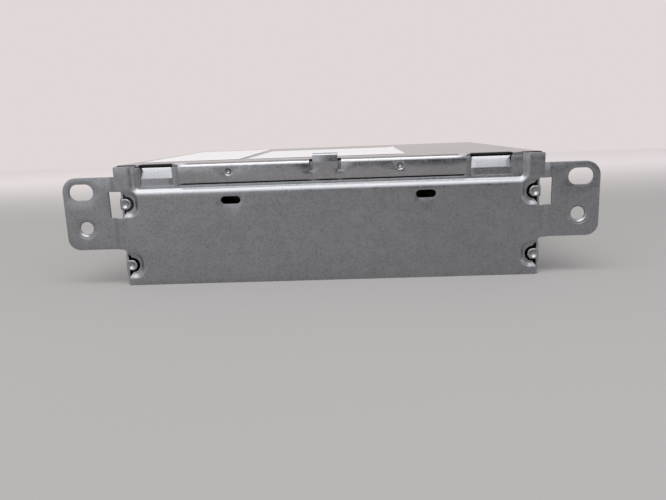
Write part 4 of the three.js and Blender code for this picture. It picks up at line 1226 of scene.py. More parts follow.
def parallel_lines(
    places: Iterable[float], start: float, end: float, upright: bool
) -> list[tuple[Loop, bool]]:
    """Straight crease lines at some places, each from a start to an end."""
    if upright:
        return [([(p, start), (p, end)], False) for p in places]
    return [([(start, p), (end, p)], False) for p in places]


def dent(flat: Array, centre: Point, radius: float, depth: float) -> Array:
    """The depth of a round punch mark with a soft rim."""
    share = np.hypot(flat[:, 0] - centre[0], flat[:, 1] - centre[1]) / radius
    bowl = depth * (1 - share**2)
    return np.where(share < 0.85, bowl, depth * 0.2775 * np.clip((1.2 - share) / 0.35, 0, 1) ** 2)


def dent_rings(centre: Point, radius: float) -> list[tuple[Loop, bool]]:
    """The rings that a punch mark's mesh follows."""
    return [(circle(*centre, radius * share, 28), True) for share in (0.25, 0.5, 0.7, 0.85, 0.95, 1.08, 1.2)]


@dataclass
class FrontPlate:
    """The pressed front with its ears, its sunk strip, the pockets of the lugs and two window tabs."""

    shop: PaintShop
    case: Case
    face_edge: float = 86.55
    corner_edge: float = 89.0
    corner_round: float = 0.8
    ear_reach: float = 111.98
    column_top: float = 50.8
    ear_radii: tuple[float, float, float] = (2.0, 5.0, 6.0)
    ear_slot: tuple[float, float, float, float] = (104.1, 40.5, 10.3, 6.8)
    ear_hole: tuple[float, float, float] = (103.6, 25.1, 2.75)
    ear_lip: tuple[float, float] = (1.1, 0.8)
    ear_bend: float = 2.25
    ear_ring: tuple[float, float] = (4.6, 0.16)
    notch: tuple[float, float, float] = (92.4, 29.3, 40.4)
    face_slot: tuple[float, float, float, float] = (40.6, 35.5, 8.2, 3.2)
    strip_radius: float = 2.4
    strip_press: Press = Press(1.6, 3.0, 0.9, 2.7, 0.35, 2.4)
    pocket_inner: float = 80.5
    pocket_half: float = 4.75
    pocket_radius: float = 3.4
    pocket_press: Press = Press(1.14, 1.4, 1.0, 0.8, 0.35, 1.5)
    joggle: tuple[float, float, float] = (-61.4, 56.8, 42.25)
    joggle_press: Press = Press(1.2, 0.1, 0.75, 0.25, 0.25, 1.0)
    lug_gap: float = 0.6
    lug_flare: tuple[float, float] = (1.35, 1.85)
    tab_seat: float = 0.05
    tab_taper: tuple[float, float] = (0.6, 0.0)
    tab_setback: float = 0.15
    tab_bend: float = 45.3
    tab_top: float = 49.8
    tab_lean: float = 22.0

    def outline(self) -> Loop:
        """The plate's edge, with the windows open at the top.

        Returns:
            The closed outline.
        """
        case = self.case
        root, lower, upper = self.ear_radii
        right = [
            (self.face_edge, 0.0, 0.5),
            *self.lug_opening(case.lug_heights[1]),
            (self.face_edge, case.ear_bottom, root),
            (self.ear_reach, case.ear_bottom, lower),
            (self.ear_reach, case.ear_top, upper),
            (self.corner_edge, case.ear_top, 0.4),
            (self.corner_edge, self.column_top, self.corner_round),
        ]
        strip = case.recess_half - case.recess_slant
        top = case.under_cover
        gaps: list[tuple[float, ...]] = [(strip, self.column_top, 0.3), (strip, top, 0.3)]
        foot = case.window_bottom
        for low, high in reversed(case.windows):
            gaps += [(high, top, 0.4), (high, foot, 0.5), (low, foot, 0.5), (low, top, 0.4)]
        gaps += [(-strip, top, 0.3), (-strip, self.column_top, 0.3)]
        return rounded([*right, *gaps, *mirrored(right)])

    def holes(self) -> list[Loop]:
        """The slots and round holes.

        Returns:
            The outline of each.
        """
        case = self.case
        found: list[Loop] = []
        for side in (-1, 1):
            x, z, width, height = self.ear_slot
            found.append(oblong(x * side, z, width, height))
            x, z, radius = self.ear_hole
            found.append(circle(x * side, z, radius))
            x, z, width, height = self.face_slot
            found.append(oblong(x * side, z, width, height))
            outer, low, high = self.notch
            edge = self.face_edge
            notch = [(outer, high, 0.4), (edge, high, 0.4), *self.lug_opening(case.lug_heights[0])[::-1]]
            notch += [(edge, low, 0.4), (outer, low, 0.4)]
            found.append(rounded(notch if side > 0 else mirrored(notch)))
        return found

    def lug_opening(self, z: float) -> list[tuple[float, float, float]]:
        """The corners of the opening that a lug lies in, from below to above, on the right-hand side.

        Args:
            z: The lug's height.

        Returns:
            The corners with their radii.
        """
        reach = self.case.lug_radius + self.lug_gap
        inner = self.case.lug_x - reach
        low, high, r = z - reach, z + reach, reach * 0.98
        edge, (run, rise) = self.face_edge, self.lug_flare
        below = [(edge, low - rise, 0.2), (edge - run, low, 0.2), (inner, low, r)]
        return [*below, (inner, high, r), (edge - run, high, 0.2), (edge, high + rise, 0.2)]

    def pockets(self) -> list[tuple[Point, Point, float]]:
        """The lower and upper corner and the radius of each pocket, open to the side."""
        inner, outer, half = self.pocket_inner, self.corner_edge + 20, self.pocket_half
        return [((inner, z - half), (outer, z + half), self.pocket_radius) for z in self.case.lug_heights]

    def relief(self, flat: Array) -> Array:
        """The depth of the pressed forms.

        Args:
            flat: Points of the face.

        Returns:
            How far each lies behind the face.
        """
        case = self.case
        folded = np.column_stack([np.abs(flat[:, 0]), flat[:, 1]])
        ears = soft_ramp(folded[:, 0] - self.corner_edge, self.ear_bend, 0.3) * case.ear_setback
        high = (case.recess_half, case.height + 20)
        run = -box_distance(flat, (-case.recess_half, case.recess_bottom), high, self.strip_radius)
        depth = self.strip_press.at(run)
        left, right, foot = self.joggle
        run = -box_distance(flat, (left, foot), (right, case.height + 20), 0.5)
        depth += self.joggle_press.at(run)
        for low, top, radius in self.pockets():
            run = -box_distance(folded, low, top, radius)
            depth = np.maximum(depth, self.pocket_press.at(run))
        depth = np.maximum(depth, ears)
        x, z, radius = self.ear_hole
        ring, sink = self.ear_ring
        width, fall = self.ear_lip
        run = np.hypot(folded[:, 0] - x, folded[:, 1] - z)
        depth += soft_ramp(ring - run, 0.3, 0.12) * sink
        depth += fall * np.clip((radius + width - run) / width, 0, 1) ** 1.5
        wave = np.sin(flat[:, 0] / 9.3 + 0.6) * np.cos(flat[:, 1] / 7.1 - 0.3) + np.sin(flat[:, 0] / 21.0 - 1.1)
        calm = np.clip((case.recess_bottom - 2 - flat[:, 1]) / 6, 0, 1)
        return depth + 0.02 * (wave + 2) * calm

    def creases(self) -> list[tuple[Loop, bool]]:
        """The lines along the bends of the pressed forms.

        Returns:
            Each line, and whether it is closed.
        """
        case = self.case
        lines: list[tuple[Loop, bool]] = []
        for inside in self.strip_press.stops(19):
            grow = -inside
            half, low = case.recess_half + grow, case.recess_bottom - grow
            radius = self.strip_radius + grow
            top = case.height + 5
            line = [(-half, top), (-half, low, radius), (half, low, radius), (half, top)]
            lines.append((rounded(line), False))
        left, right, foot = self.joggle
        for inside in self.joggle_press.stops(7):
            start, end, low = left + inside, right - inside, foot + inside
            lines.append((rounded([(start, top), (start, low, 0.5), (end, low, 0.5), (end, top)]), False))
        for low, high, radius in self.pockets():
            for inside in self.pocket_press.stops(11):
                grow = -inside
                inner, bottom, top = low[0] - grow, low[1] - grow, high[1] + grow
                r = radius + grow
                beyond = 95.0
                pocket = rounded([(beyond, bottom), (inner, bottom, r), (inner, top, r), (beyond, top)])
                lines.append((pocket, False))
                lines.append(([(-u, v) for u, v in pocket], False))
        for side in (-1, 1):
            places = [(self.corner_edge + 0.2 * k) * side for k in range(-2, 14)]
            lines += parallel_lines(places, case.ear_bottom - 3, case.ear_top + 1, True)
            x, z, radius = self.ear_hole
            rings = [self.ear_ring[0] + shift for shift in (-0.45, -0.3, -0.15, 0.0, 0.15)]
            rings += [radius + self.ear_lip[0] * share for share in (0.3, 0.5, 0.75, 1.0)]
            lines += [(circle(x * side, z, ring, 48), True) for ring in rings]
        return lines

    def tab(self, low: float, high: float) -> Shape:
        """The tab that a window leaves, bent back under the cover.

        Args:
            low: The window's left end.
            high: Its right end.

        Returns:
            The closed shape.
        """
        case = self.case
        face = case.front + case.recess_depth
        foot, bend = case.window_bottom - 0.5, self.tab_bend
        back = face + self.tab_setback
        lean = (self.tab_top - bend) * math.tan(math.radians(self.tab_lean))
        line = [(face, foot, 0.0), (back, foot + 1.2, 0.8), (back, bend, 0.8), (back + lean, self.tab_top, 0.0)]
        section = Section(line, 1, bend - 1)
        start, end = section.ends
        bent = section.length_at(1, bend)
        low, high = low - self.tab_seat, high + self.tab_seat
        inner, outer = self.tab_taper
        at_low, at_high = (outer, inner) if high < 0 else (inner, outer)
        right = [(high, start), (high, bent), (high - at_high, end, 0.6)]
        outline = rounded([*right, (low + at_low, end, 0.6), (low, bent), (low, start)])
        creases = parallel_lines(section.stops[1:-1], low - 1, high + 1, False)

        def place(flat: Array) -> Array:
            """Bends the tab along its section."""
            y, z = section.at(flat[:, 1])
            return np.column_stack([flat[:, 0], y, z])

        return sheet(Blank(outline, [], creases, 4.0, 0.12), place, case.sheet, None, (0, -1, 0.3))

    def build(self) -> bpy.types.Object:
        """Presses the plate and bends its tabs.

        Returns:
            The front plate.
        """
        case = self.case
        blank = Blank(self.outline(), self.holes(), self.creases(), 5.0, 0.16)

        def place(flat: Array) -> Array:
            """Stands the plate at the front."""
            return np.column_stack([flat[:, 0], np.full(len(flat), case.front), flat[:, 1]])

        plate = sheet(blank, place, case.sheet, self.relief, (0, -1, 0), 0.08)
        shape = joined([plate, *(self.tab(low, high) for low, high in case.windows)])
        return self.shop.piece("pressed_front", "front_plate", shape, FACE_STEEL)


@dataclass
class TopCover:
    """The folded cover with its front flange, its side flanges and the tongue that stands proud."""

    shop: PaintShop
    case: Case
    side: float = 88.95
    side_bottom: float = 40.6
    outer_bend: float = 1.4
    front_bend: float = 2.0
    flange_face: float = 0.6
    flange_bottom: float = 42.9
    flange_ends: tuple[float, float] = (-62.0, 57.4)
    edge_half: float = 79.85
    edge_back: float = 1.35
    corner_back: float = 2.85
    tongue: tuple[float, float] = (-5.8, 4.6)
    tongue_gap: float = 1.35
    tongue_root: float = 46.5
    tongue_top: float = 53.4
    dimples: tuple[Point, Point] = ((-41.0, 47.3), (30.1, 47.3))
    dimple_radius: float = 1.5
    dimple_depth: float = 1.2
    window_notch: float = 5.0
    notch_spare: float = 0.4
    punch_radius: float = 1.2
    punches: tuple[Point, ...] = ((80.0, -46.125), (80.0, 3.875), (-85.0, 5.875))
    screw_places: tuple[Point, ...] = ((-46.125, 45.6), (4.875, 45.6))
    across: Section = field(init=False)
    fore: Section = field(init=False)
    hook: Section = field(init=False)

    def __post_init__(self) -> None:
        """Bends the cover's sections."""
        case = self.case
        top, bend = case.height, self.outer_bend
        side, low = self.side, self.side_bottom
        self.across = Section([(-side, low, 0), (-side, top, bend), (side, top, bend), (side, low, 0)], 0, 0.0)
        face = case.front + self.flange_face
        folds = [(face, self.flange_bottom, 0), (face, top, self.front_bend), (case.rear, top, 0)]
        self.fore = Section(folds, 0, 0.0)
        tongue = [
            (face, self.tongue_root, 0),
            (face, 48.2, 0.7),
            (face - 0.4, 49.9, 0.7),
            (face - 0.15, self.tongue_top, 0.9),
            (face + 5.65, self.tongue_top, 0),
        ]
        self.hook = Section(tongue, 1, self.tongue_root)

    def relief_hole(self) -> tuple[Loop, float, float]:
        """The cut round the tongue, and where the tongue starts and ends on the blank.

        Returns:
            The outline of the cut, and both lengths.
        """
        left, right = self.tongue
        start = self.fore.length_at(1, self.tongue_root)
        end = self.case.front + self.corner_back
        tip = end - 0.7
        low, high = left - self.tongue_gap, right + self.tongue_gap
        corners = [(low, start, 0.3), (left, start, 0.3), (left, tip, 0.3), (right, tip, 0.3)]
        corners += [(right, start, 0.3), (high, start, 0.3), (high, end, 0.3), (low, end, 0.3)]
        return rounded(corners), start, tip

    def tongue_length(self, share: Array) -> Array:
        """The length along the tongue's section at a share of its run on the blank."""
        _, start, tip = self.relief_hole()
        first, last = self.hook.ends
        return first + (tip - start) * share + (last - first - tip + start) * share**2

    def blank(self) -> Blank:
        """The flat cover.

        Returns:
            Its outline, holes and bend lines.
        """
        case = self.case
        far = float(self.across.stops[-1])
        foot = float(self.fore.stops[0])
        edge, corner = case.front + self.edge_back, case.front + self.corner_back
        left, right = self.flange_ends
        notches: list[list[tuple[float, ...]]] = []
        for low, high in case.windows:
            low, high, deep = low - self.notch_spare, high + self.notch_spare, case.front + self.window_notch
            notches.append([(low, edge, 0.3), (low, deep, 0.4), (high, deep, 0.4), (high, edge, 0.3)])
        half = self.edge_half
        corners = [(-far, corner, 0.8), (-half, corner, 0.2), (-half, edge, 0.4), *notches[0]]
        corners += [(left, edge, 0.2), (left, foot, 0.8), (right, foot, 0.8), (right, edge, 0.2)]
        corners += [*notches[1], (half, edge, 0.4)]
        corners += [(half, corner, 0.2), (far, corner, 0.8), (far, case.rear, 0.8), (-far, case.rear, 0.8)]
        hole, start, tip = self.relief_hole()
        holes = [hole, *(circle(x, y, self.punch_radius, 24) for x, y in self.punches)]
        for y, z in self.screw_places:
            for sign in (-1, 1):
                holes.append(circle((far - z + self.side_bottom) * sign, y, case.screw_hole, 20))
        bends = self.across.folds
        creases = parallel_lines(bends, corner - 1, case.rear + 1, True)
        fronts = self.fore.folds
        creases += parallel_lines(fronts, left - 1, self.tongue[0] - self.tongue_gap, False)
        creases += parallel_lines(fronts, self.tongue[1] + self.tongue_gap, right + 1, False)
        shares = np.linspace(0, 1, 200)
        bent = np.interp(self.hook.stops[1:-1], self.tongue_length(shares), shares)
        folds = [start + float(share) * (tip - start) for share in bent]
        creases += parallel_lines(folds, self.tongue[0], self.tongue[1], False)
        for x, z in self.dimples:
            creases += dent_rings((x, self.fore.length_at(1, z)), self.dimple_radius)
        return Blank(rounded(corners), holes, creases, 7.0, 0.14)

    def place(self, flat: Array) -> Array:
        """Folds the flat cover.

        Args:
            flat: Points of the blank.

        Returns:
            Their places on the cover's outer face.
        """
        x, z = self.across.at(flat[:, 0])
        y, drop = self.fore.at(flat[:, 1])
        left, right = self.flange_ends
        outside = np.clip(np.maximum(left - flat[:, 0], flat[:, 0] - right) / 0.6, 0, 1)
        y = y + (flat[:, 1] - y) * outside
        drop = drop + (self.case.height - drop) * outside
        points = np.column_stack([x, y, z + drop - self.case.height])
        _, start, tip = self.relief_hole()
        is_tongue = (flat[:, 0] > self.tongue[0] - 0.01) & (flat[:, 0] < self.tongue[1] + 0.01)
        is_tongue &= (flat[:, 1] > start + 0.01) & (flat[:, 1] < tip + 0.01)
        share = np.clip((flat[:, 1] - start) / (tip - start), 0, 1)
        hook_y, hook_z = self.hook.at(self.tongue_length(share))
        points[is_tongue, 1] = hook_y[is_tongue]
        points[is_tongue, 2] = hook_z[is_tongue]
        return points

    def relief(self, flat: Array) -> Array:
        """The two punch marks of the flange, and the slight unevenness of the top.

        Args:
            flat: The points on the blank.

        Returns:
            The depth at each point.
        """
        depth = 0.03 * (1 - np.sin(flat[:, 0] / 17.0 + 0.8) * np.sin((flat[:, 1] + 60) / 19.0))
        depth *= np.clip((self.side - 6 - np.abs(flat[:, 0])) / 12, 0, 1)
        depth *= np.clip((flat[:, 1] + 79) / 10, 0, 1)
        for x, z in self.dimples:
            depth += dent(flat, (x, self.fore.length_at(1, z)), self.dimple_radius, self.dimple_depth)
        return depth

    def build(self) -> bpy.types.Object:
        """Folds the cover.

        Returns:
            The cover.
        """
        shape = sheet(self.blank(), self.place, self.case.cover_sheet, self.relief, (0, -0.2, 1), 0.08)
        obj = self.shop.piece("folded_cover", "top_cover", shape, COVER_STEEL)
        self.paint_shadow_on_cut_edges(obj)
        return obj

    def paint_shadow_on_cut_edges(self, obj: bpy.types.Object) -> None:
        """Paints shadow on the front-facing sheared edges over the windows and corners: a near-black finish for
        bare cut steel and for the shade of the gap under the cover's edge.

        Args:
            obj: The cover.
        """
        obj.data.materials.append(self.shop.material(CUT_EDGE_AND_SHADOW))
        near, far = (self.case.front + 2) * MM, (self.case.front + self.window_notch + 1) * MM
        low = self.case.under_cover * MM
        # Painted shadow: the front-facing cut edges near the top take the near-black finish that stands for the
        # gap's shade.
        for face in obj.data.polygons:
            if face.normal.y < -0.6 and near < face.center.y < far and face.center.z > low:
                face.material_index = 1


@dataclass
class SidePlate:
    """A side wall with its flanges and the two lugs that grip the front plate."""

    shop: PaintShop
    case: Case
    side: int
    flange_start: float = 12.0
    flange_width: float = 10.0
    rear_flange: float = 9.0
    bend: float = 1.5
    lug_bend: float = 1.4
    bracket_radius: float = 2.5
    bracket_places: tuple[Point, ...] = ((-48.165, 15.36), (-48.165, 36.864), (25.755, 15.36), (25.755, 36.864))
    lug_size: float = 2.3
    lug_flat: float = 1.75
    lug_crown: float = 0.4
    punch_radius: float = 1.6
    punch_depth: float = 0.9
    upright: Section = field(init=False)
    run: Section = field(init=False)

    def __post_init__(self) -> None:
        """Bends the wall's sections, for the right-hand side."""
        case = self.case
        low, high = case.sheet + case.seat, case.under_cover
        inner = case.wall - case.sheet - self.flange_width
        folds = [(inner, low, 0), (case.wall, low, self.bend), (case.wall, high, self.bend), (inner, high, 0)]
        self.upright = Section(folds, 1, 25.0)
        face = case.front + 0.1
        rear = case.rear - case.sheet - case.seat
        tip = case.lug_x - self.lug_size
        end = case.wall - case.sheet - self.rear_flange
        folds = [(face, tip, 0), (face, case.wall, self.lug_bend), (rear, case.wall, self.bend), (rear, end, 0)]
        self.run = Section(folds, 0, 0.0)

    def blank(self) -> Blank:
        """The flat wall with its flanges and lugs.

        Returns:
            Its outline, holes and bend lines.
        """
        case = self.case
        low, high = case.sheet + case.seat, case.under_cover
        first, last = self.upright.ends
        start, tip = case.front + self.flange_start, float(self.run.stops[0])
        nose, step = case.front + 2.55, case.front + 1.6
        ledge = case.ear_bottom - 2.25
        rear_low, rear_high = low + self.bend + 0.2, high - self.bend - 0.2
        body_end, far = case.rear - 3.0, float(self.run.stops[-1])
        r, size = self.lug_size * 0.97, self.lug_size
        corners: list[tuple[float, ...]] = [(first, start, 1.5), (low, start, 0.3), (low, step, 0.5)]
        upper, lower = case.lug_heights
        for z, root in ((lower, step), (upper, nose)):
            corners += [(z - size, root, 0.3), (z - size, tip, r), (z + size, tip, r), (z + size, root, 0.3)]
            if z == lower:
                corners += [(ledge, step, 0.4), (ledge, nose, 0.4)]
        corners += [(high, nose, 0.8), (high, start, 0.3), (last, start, 1.5), (last, body_end, 1.5)]
        corners += [(rear_high, body_end, 0.3), (rear_high, far, 1.0), (rear_low, far, 1.0)]
        corners += [(rear_low, body_end, 0.3), (first, body_end, 1.5)]
        holes = [circle(z, y, self.bracket_radius) for y, z in self.bracket_places]
        creases = parallel_lines(self.upright.folds, start, body_end + 1, True)
        folds = self.run.folds
        fore, aft = [f for f in folds if f < 0], [f for f in folds if f > 0]
        for z in case.lug_heights:
            creases += parallel_lines(fore, z - size - 0.2, z + size + 0.2, False)
            middle = self.run.length_at(1, case.lug_x)
            creases += dent_rings((z, middle), self.punch_radius)
            for share in (0.0, 0.35, 0.6, 0.8):
                d = self.lug_flat + (size - self.lug_flat) * share
                foot, tip, r = middle + 2, middle - d, d * 0.99
                line = [(z - d, foot), (z - d, tip, r), (z + d, tip, r), (z + d, foot)]
                creases.append((rounded(line), False))
        creases += parallel_lines(aft, rear_low - 1, rear_high + 1, False)
        return Blank(rounded(corners), holes, creases, 7.0, 0.3)

    def place(self, flat: Array) -> Array:
        """Folds the flat wall.

        Args:
            flat: Points of the blank.

        Returns:
            Their places on its outer face, on the right-hand side.
        """
        x, z = self.upright.at(flat[:, 0])
        share = np.clip((self.case.front + self.flange_start - flat[:, 1]) / 0.8, 0, 1)
        x = x + (self.case.wall - x) * share
        z = z + (flat[:, 0] - z) * share
        y, inwards = self.run.at(flat[:, 1])
        return np.column_stack([x + inwards - self.case.wall, y, z])

    def crown(self, flat: Array) -> Array:
        """How far the coined rims of the lugs fall away.

        Args:
            flat: The points on the blank.

        Returns:
            The fall at each point.
        """
        depth = np.zeros(len(flat))
        middle, size = self.run.length_at(1, self.case.lug_x), self.lug_size
        for z in self.case.lug_heights:
            run = np.hypot(flat[:, 0] - z, np.minimum(flat[:, 1] - middle, 0))
            share = np.clip((run - self.lug_flat) / (size - self.lug_flat), 0, 1)
            on_lug = (run < size + 0.01) & (flat[:, 1] < middle + 2.5)
            depth += np.where(on_lug, self.lug_crown * (1 - np.sqrt(1 - share**2)), 0)
        return depth

    def relief(self, flat: Array) -> Array:
        """The centre punch marks of the lugs.

        Args:
            flat: The points on the blank.

        Returns:
            The depth at each point.
        """
        depth = np.zeros(len(flat))
        for z in self.case.lug_heights:
            middle = self.run.length_at(1, self.case.lug_x)
            depth += dent(flat, (z, middle), self.punch_radius, self.punch_depth)
        return depth

    def build(self) -> bpy.types.Object:
        """Folds the plate and mirrors it for the left-hand side.

        Returns:
            The side plate.
        """
        shape = sheet(self.blank(), self.place, self.case.sheet, self.relief, (1, 0, 0), 0.08, self.crown)
        name = "right" if self.side > 0 else "left"
        shape = shape.moved(Matrix.Diagonal((self.side, 1, 1, 1)))
        return self.shop.piece(name + "_wall", name + "_side_plate", shape, CASE_STEEL)


@dataclass
class BasePlate:
    """The floor of the case with stiffening ribs, standoffs, vents and countersinks."""

    shop: PaintShop
    case: Case
    start: float = -83.875
    rib_places: tuple[float, ...] = (-46.0, 0.0, 46.0)
    rib_width: float = 7.0
    rib_inset: float = 20.0
    rib_depth: float = 0.9
    standoffs: tuple[Point, ...] = ((-69.8, -59.125), (-69.8, 50.875), (69.8, -59.125), (69.8, 50.875))
    standoff_radii: tuple[float, float] = (4.4, 2.4)
    standoff_depth: float = 5.0
    sinks: tuple[Point, ...] = ((-81.8, -61.125), (-81.8, 44.875), (81.8, -61.125), (81.8, 44.875))
    sink_radius: float = 3.3
    sink_depth: float = 0.85
    vent_places: tuple[float, ...] = (-34.0, -28.0, -22.0, -16.0, -10.0)
    vent_y: float = 26.875
    vent_size: tuple[float, float] = (2.4, 22.0)

    def ribs(self, grow: float) -> list[Loop]:
        """The outlines of the ribs, grown by a width."""
        middle = (self.case.front + self.case.rear) / 2
        length = self.case.rear - self.case.front - self.rib_inset * 2
        return [oblong(x, middle, self.rib_width + grow * 2, length + grow * 2) for x in self.rib_places]

    def relief(self, flat: Array) -> Array:
        """The ribs and standoffs, pressed upwards.

        Args:
            flat: The points on the blank.

        Returns:
            The depth at each point.
        """
        depth = np.zeros(len(flat))
        middle = (self.case.front + self.case.rear) / 2
        half = (self.case.rear - self.case.front) / 2 - self.rib_inset
        wide = self.rib_width / 2
        for x in self.rib_places:
            run = -box_distance(flat, (x - wide, middle - half), (x + wide, middle + half), wide * 0.999)
            depth += soft_ramp(run, 0.9, 0.4) * self.rib_depth
        foot, head = self.standoff_radii
        for x, y in self.standoffs:
            run = foot - np.hypot(flat[:, 0] - x, flat[:, 1] - y)
            depth += soft_ramp(run, foot - head, 0.35) * self.standoff_depth
        return depth

    def carving(self, flat: Array) -> Array:
        """The countersinks of the screws.

        Args:
            flat: The points on the blank.

        Returns:
            The depth at each point.
        """
        depth = np.zeros(len(flat))
        for x, y in self.sinks:
            gap = self.sink_radius - np.hypot(flat[:, 0] - x, flat[:, 1] - y)
            share = gap / (self.sink_radius - self.case.screw_hole)
            depth += np.clip(share, 0, 1) * self.sink_depth
        return depth

    def build(self) -> bpy.types.Object:
        """Presses the base.

        Returns:
            The base plate.
        """
        case = self.case
        middle = (self.start + case.rear) / 2
        outline = rectangle(0, middle, case.wall * 2, case.rear - self.start, 0.8)
        width, length = self.vent_size
        holes = [oblong(x, self.vent_y, width, length) for x in self.vent_places]
        holes += [circle(x, y, case.screw_hole, 24) for x, y in (*self.standoffs, *self.sinks)]
        creases = [(loop, True) for k in range(9) for loop in self.ribs(0.4 - k * 0.2125)]
        foot, _ = self.standoff_radii
        for x, y in self.standoffs:
            rings = [foot + 0.4 - k * 0.225 for k in range(13)]
            creases += [(circle(x, y, radius, 36), True) for radius in rings if radius > case.screw_hole + 0.25]
        creases += [(circle(x, y, self.sink_radius, 32), True) for x, y in self.sinks]

        def place(flat: Array) -> Array:
            """Lays the plate at the bottom."""
            return np.column_stack([flat, np.zeros(len(flat))])

        blank = Blank(outline, holes, creases, 8.0, 0.16)
        shape = sheet(blank, place, case.sheet, self.relief, (0, 0, -1), 0.08, self.carving)
        return self.shop.piece("ribbed_base", "base_plate", shape, CASE_STEEL)


@dataclass
class RearPlate:
    """The rear wall with the openings for the cooler, the fan and the sockets."""

    shop: PaintShop
    case: Case
    half: float = 86.55
    flange_half: float = 76.55
    flange_width: float = 10.0
    slit: float = 0.6
    bend: float = 1.5
    cooler_hole: tuple[float, float, float, float] = (-61.0, 25.2, 30.5, 24.1)
    duct_hole: tuple[float, float, float] = (-19.5, 25.6, 18.8)
    harness_hole: tuple[float, float, float, float] = (23.2, 22.4, 42.5, 28.5)
    aerial_places: tuple[float, ...] = (50.5, 61.0, 71.5)
    aerial_hole: tuple[float, float] = (13.6, 4.75)
    data_places: tuple[float, ...] = (54.5, 70.2)
    data_hole: tuple[float, float, float] = (31.95, 13.9, 7.5)

    def build(self) -> bpy.types.Object:
        """Cuts and folds the rear wall.

        Returns:
            The rear plate.
        """
        case = self.case
        low, high = case.sheet + case.seat, case.under_cover
        inner = case.rear - case.sheet - self.flange_width
        bends = [(inner, low, 0), (case.rear, low, self.bend), (case.rear, high, self.bend), (inner, high, 0)]
        section = Section(bends, 1, 25.0)
        first, last = section.ends
        bottom, top = low + self.bend - 0.3, high - self.bend + 0.3
        flange, slit = self.flange_half, self.flange_half + self.slit
        right = [(flange, first, 1.5), (flange, bottom, 0.2), (slit, bottom, 0.2), (slit, low, 0.3)]
        right += [(self.half, low, 0.5), (self.half, high, 0.5)]
        right += [(slit, high, 0.3), (slit, top, 0.2), (flange, top, 0.2), (flange, last, 1.5)]
        holes = [rectangle(*self.cooler_hole, 0.8), circle(*self.duct_hole, 72)]
        holes.append(rectangle(*self.harness_hole, 0.8))
        holes += [circle(x, *self.aerial_hole) for x in self.aerial_places]
        z, width, height = self.data_hole
        holes += [rectangle(x, z, width, height, 0.8) for x in self.data_places]
        folds = section.folds
        creases = parallel_lines(folds, -self.flange_half - 1, self.flange_half + 1, False)

        def place(flat: Array) -> Array:
            """Bends the wall, and keeps it flat beside its flanges.

            Args:
                flat: The points on the blank.

            Returns:
                The bent points.
            """
            y, z = section.at(flat[:, 1])
            outside = np.clip((np.abs(flat[:, 0]) - flange) / self.slit, 0, 1)
            y, z = y + (case.rear - y) * outside, z + (flat[:, 1] - z) * outside
            return np.column_stack([flat[:, 0], y, z])

        def relief(flat: Array) -> Array:
            """The slight unevenness of the sheet."""
            return 0.02 * (1 + np.sin(flat[:, 0] / 13.0) * np.sin(flat[:, 1] / 9.0))

        blank = Blank(rounded([*right, *mirrored(right)]), holes, creases, 7.0, 0.16)
        shape = sheet(blank, place, case.sheet, relief, (0, 1, 0), 0.08)
        return self.shop.piece("rear_wall", "rear_plate", shape, CASE_STEEL)


# What stands on the rear


@dataclass
class Cooler:
    """The finned heat sink: a comb of drafted fins on a base, and the amplifier's pedestal in the case."""

    shop: PaintShop
    middle: float = -61.0
    half: float = 17.0
    span: tuple[float, float] = (6.0, 46.0)
    base: tuple[float, float] = (69.125, 73.125)
    tip: float = 85.125
    fins: int = 7
    root_width: float = 1.9
    tip_width: float = 1.3
    pedestal: tuple[float, float, float, float] = (15.0, 62.875, 13.4, 37.0)
    screw_heights: tuple[float, float] = (10.2, 41.8)
    clearance: float = 3.3

    def comb(self) -> Loop:
        """The section of the base with all its fins but the middle one.

        Returns:
            The closed outline.
        """
        left, right = self.middle - self.half, self.middle + self.half
        back, root = self.base
        corners: list[tuple[float, ...]] = [(left, back, 0.8), (right, back, 0.8)]
        pitch = (self.half * 2 - self.root_width) / (self.fins - 1)
        for k in reversed(range(self.fins)):
            if k == self.fins // 2:
                continue
            x = left + self.root_width / 2 + k * pitch
            wide, thin = self.root_width / 2, self.tip_width / 2
            outer = k in (0, self.fins - 1)
            foot = 0.7
            start = (x + wide, root, 0.0 if outer and x > self.middle else foot)
            end = (x - wide, root, 0.0 if outer and x < self.middle else foot)
            corners += [start, (x + thin, self.tip, thin * 0.95), (x - thin, self.tip, thin * 0.95), end]
        return rounded(corners)

    def middle_fin(self) -> Shape:
        """The middle fin, cut away round the screws.

        Returns:
            The closed shapes of its parts.
        """
        low, high = self.span
        root, tip = self.base[1] - 1.0, self.tip
        first, second = self.screw_heights
        reach = self.clearance
        middle_fin = panel(root, tip, first + reach, second - reach, (0.3, 0.9, 0.9, 0.3))
        thin = self.root_width / 2 * 0.85
        pieces = [slab(middle_fin, [], "x", self.middle - thin, self.middle + thin, 0.3)]
        for bottom, top in ((low, first - reach), (second + reach, high)):
            if top - bottom > 0.6:
                corners = [(root, bottom, 0.2), (tip, bottom, 0.3), (tip, top, 0.3), (root, top, 0.2)]
                pieces.append(slab(rounded(corners), [], "x", self.middle - thin, self.middle + thin, 0.2))
        return joined(pieces)

    def build(self) -> bpy.types.Object:
        """Casts the cooler.

        Returns:
            The heat sink.
        """
        low, high = self.span
        half, face, bottom, top = self.pedestal
        foot = rectangle(self.middle, (bottom + top) / 2, half * 2, top - bottom, 0.6)
        shape = joined(
            [
                slab(self.comb(), [], "z", low, high, 0.35),
                self.middle_fin(),
                slab(foot, [], "y", face, self.base[0] + 1, 0.3),
            ]
        )
        return self.shop.piece("cooler", "heat_sink", shape, CAST_ALLOY)


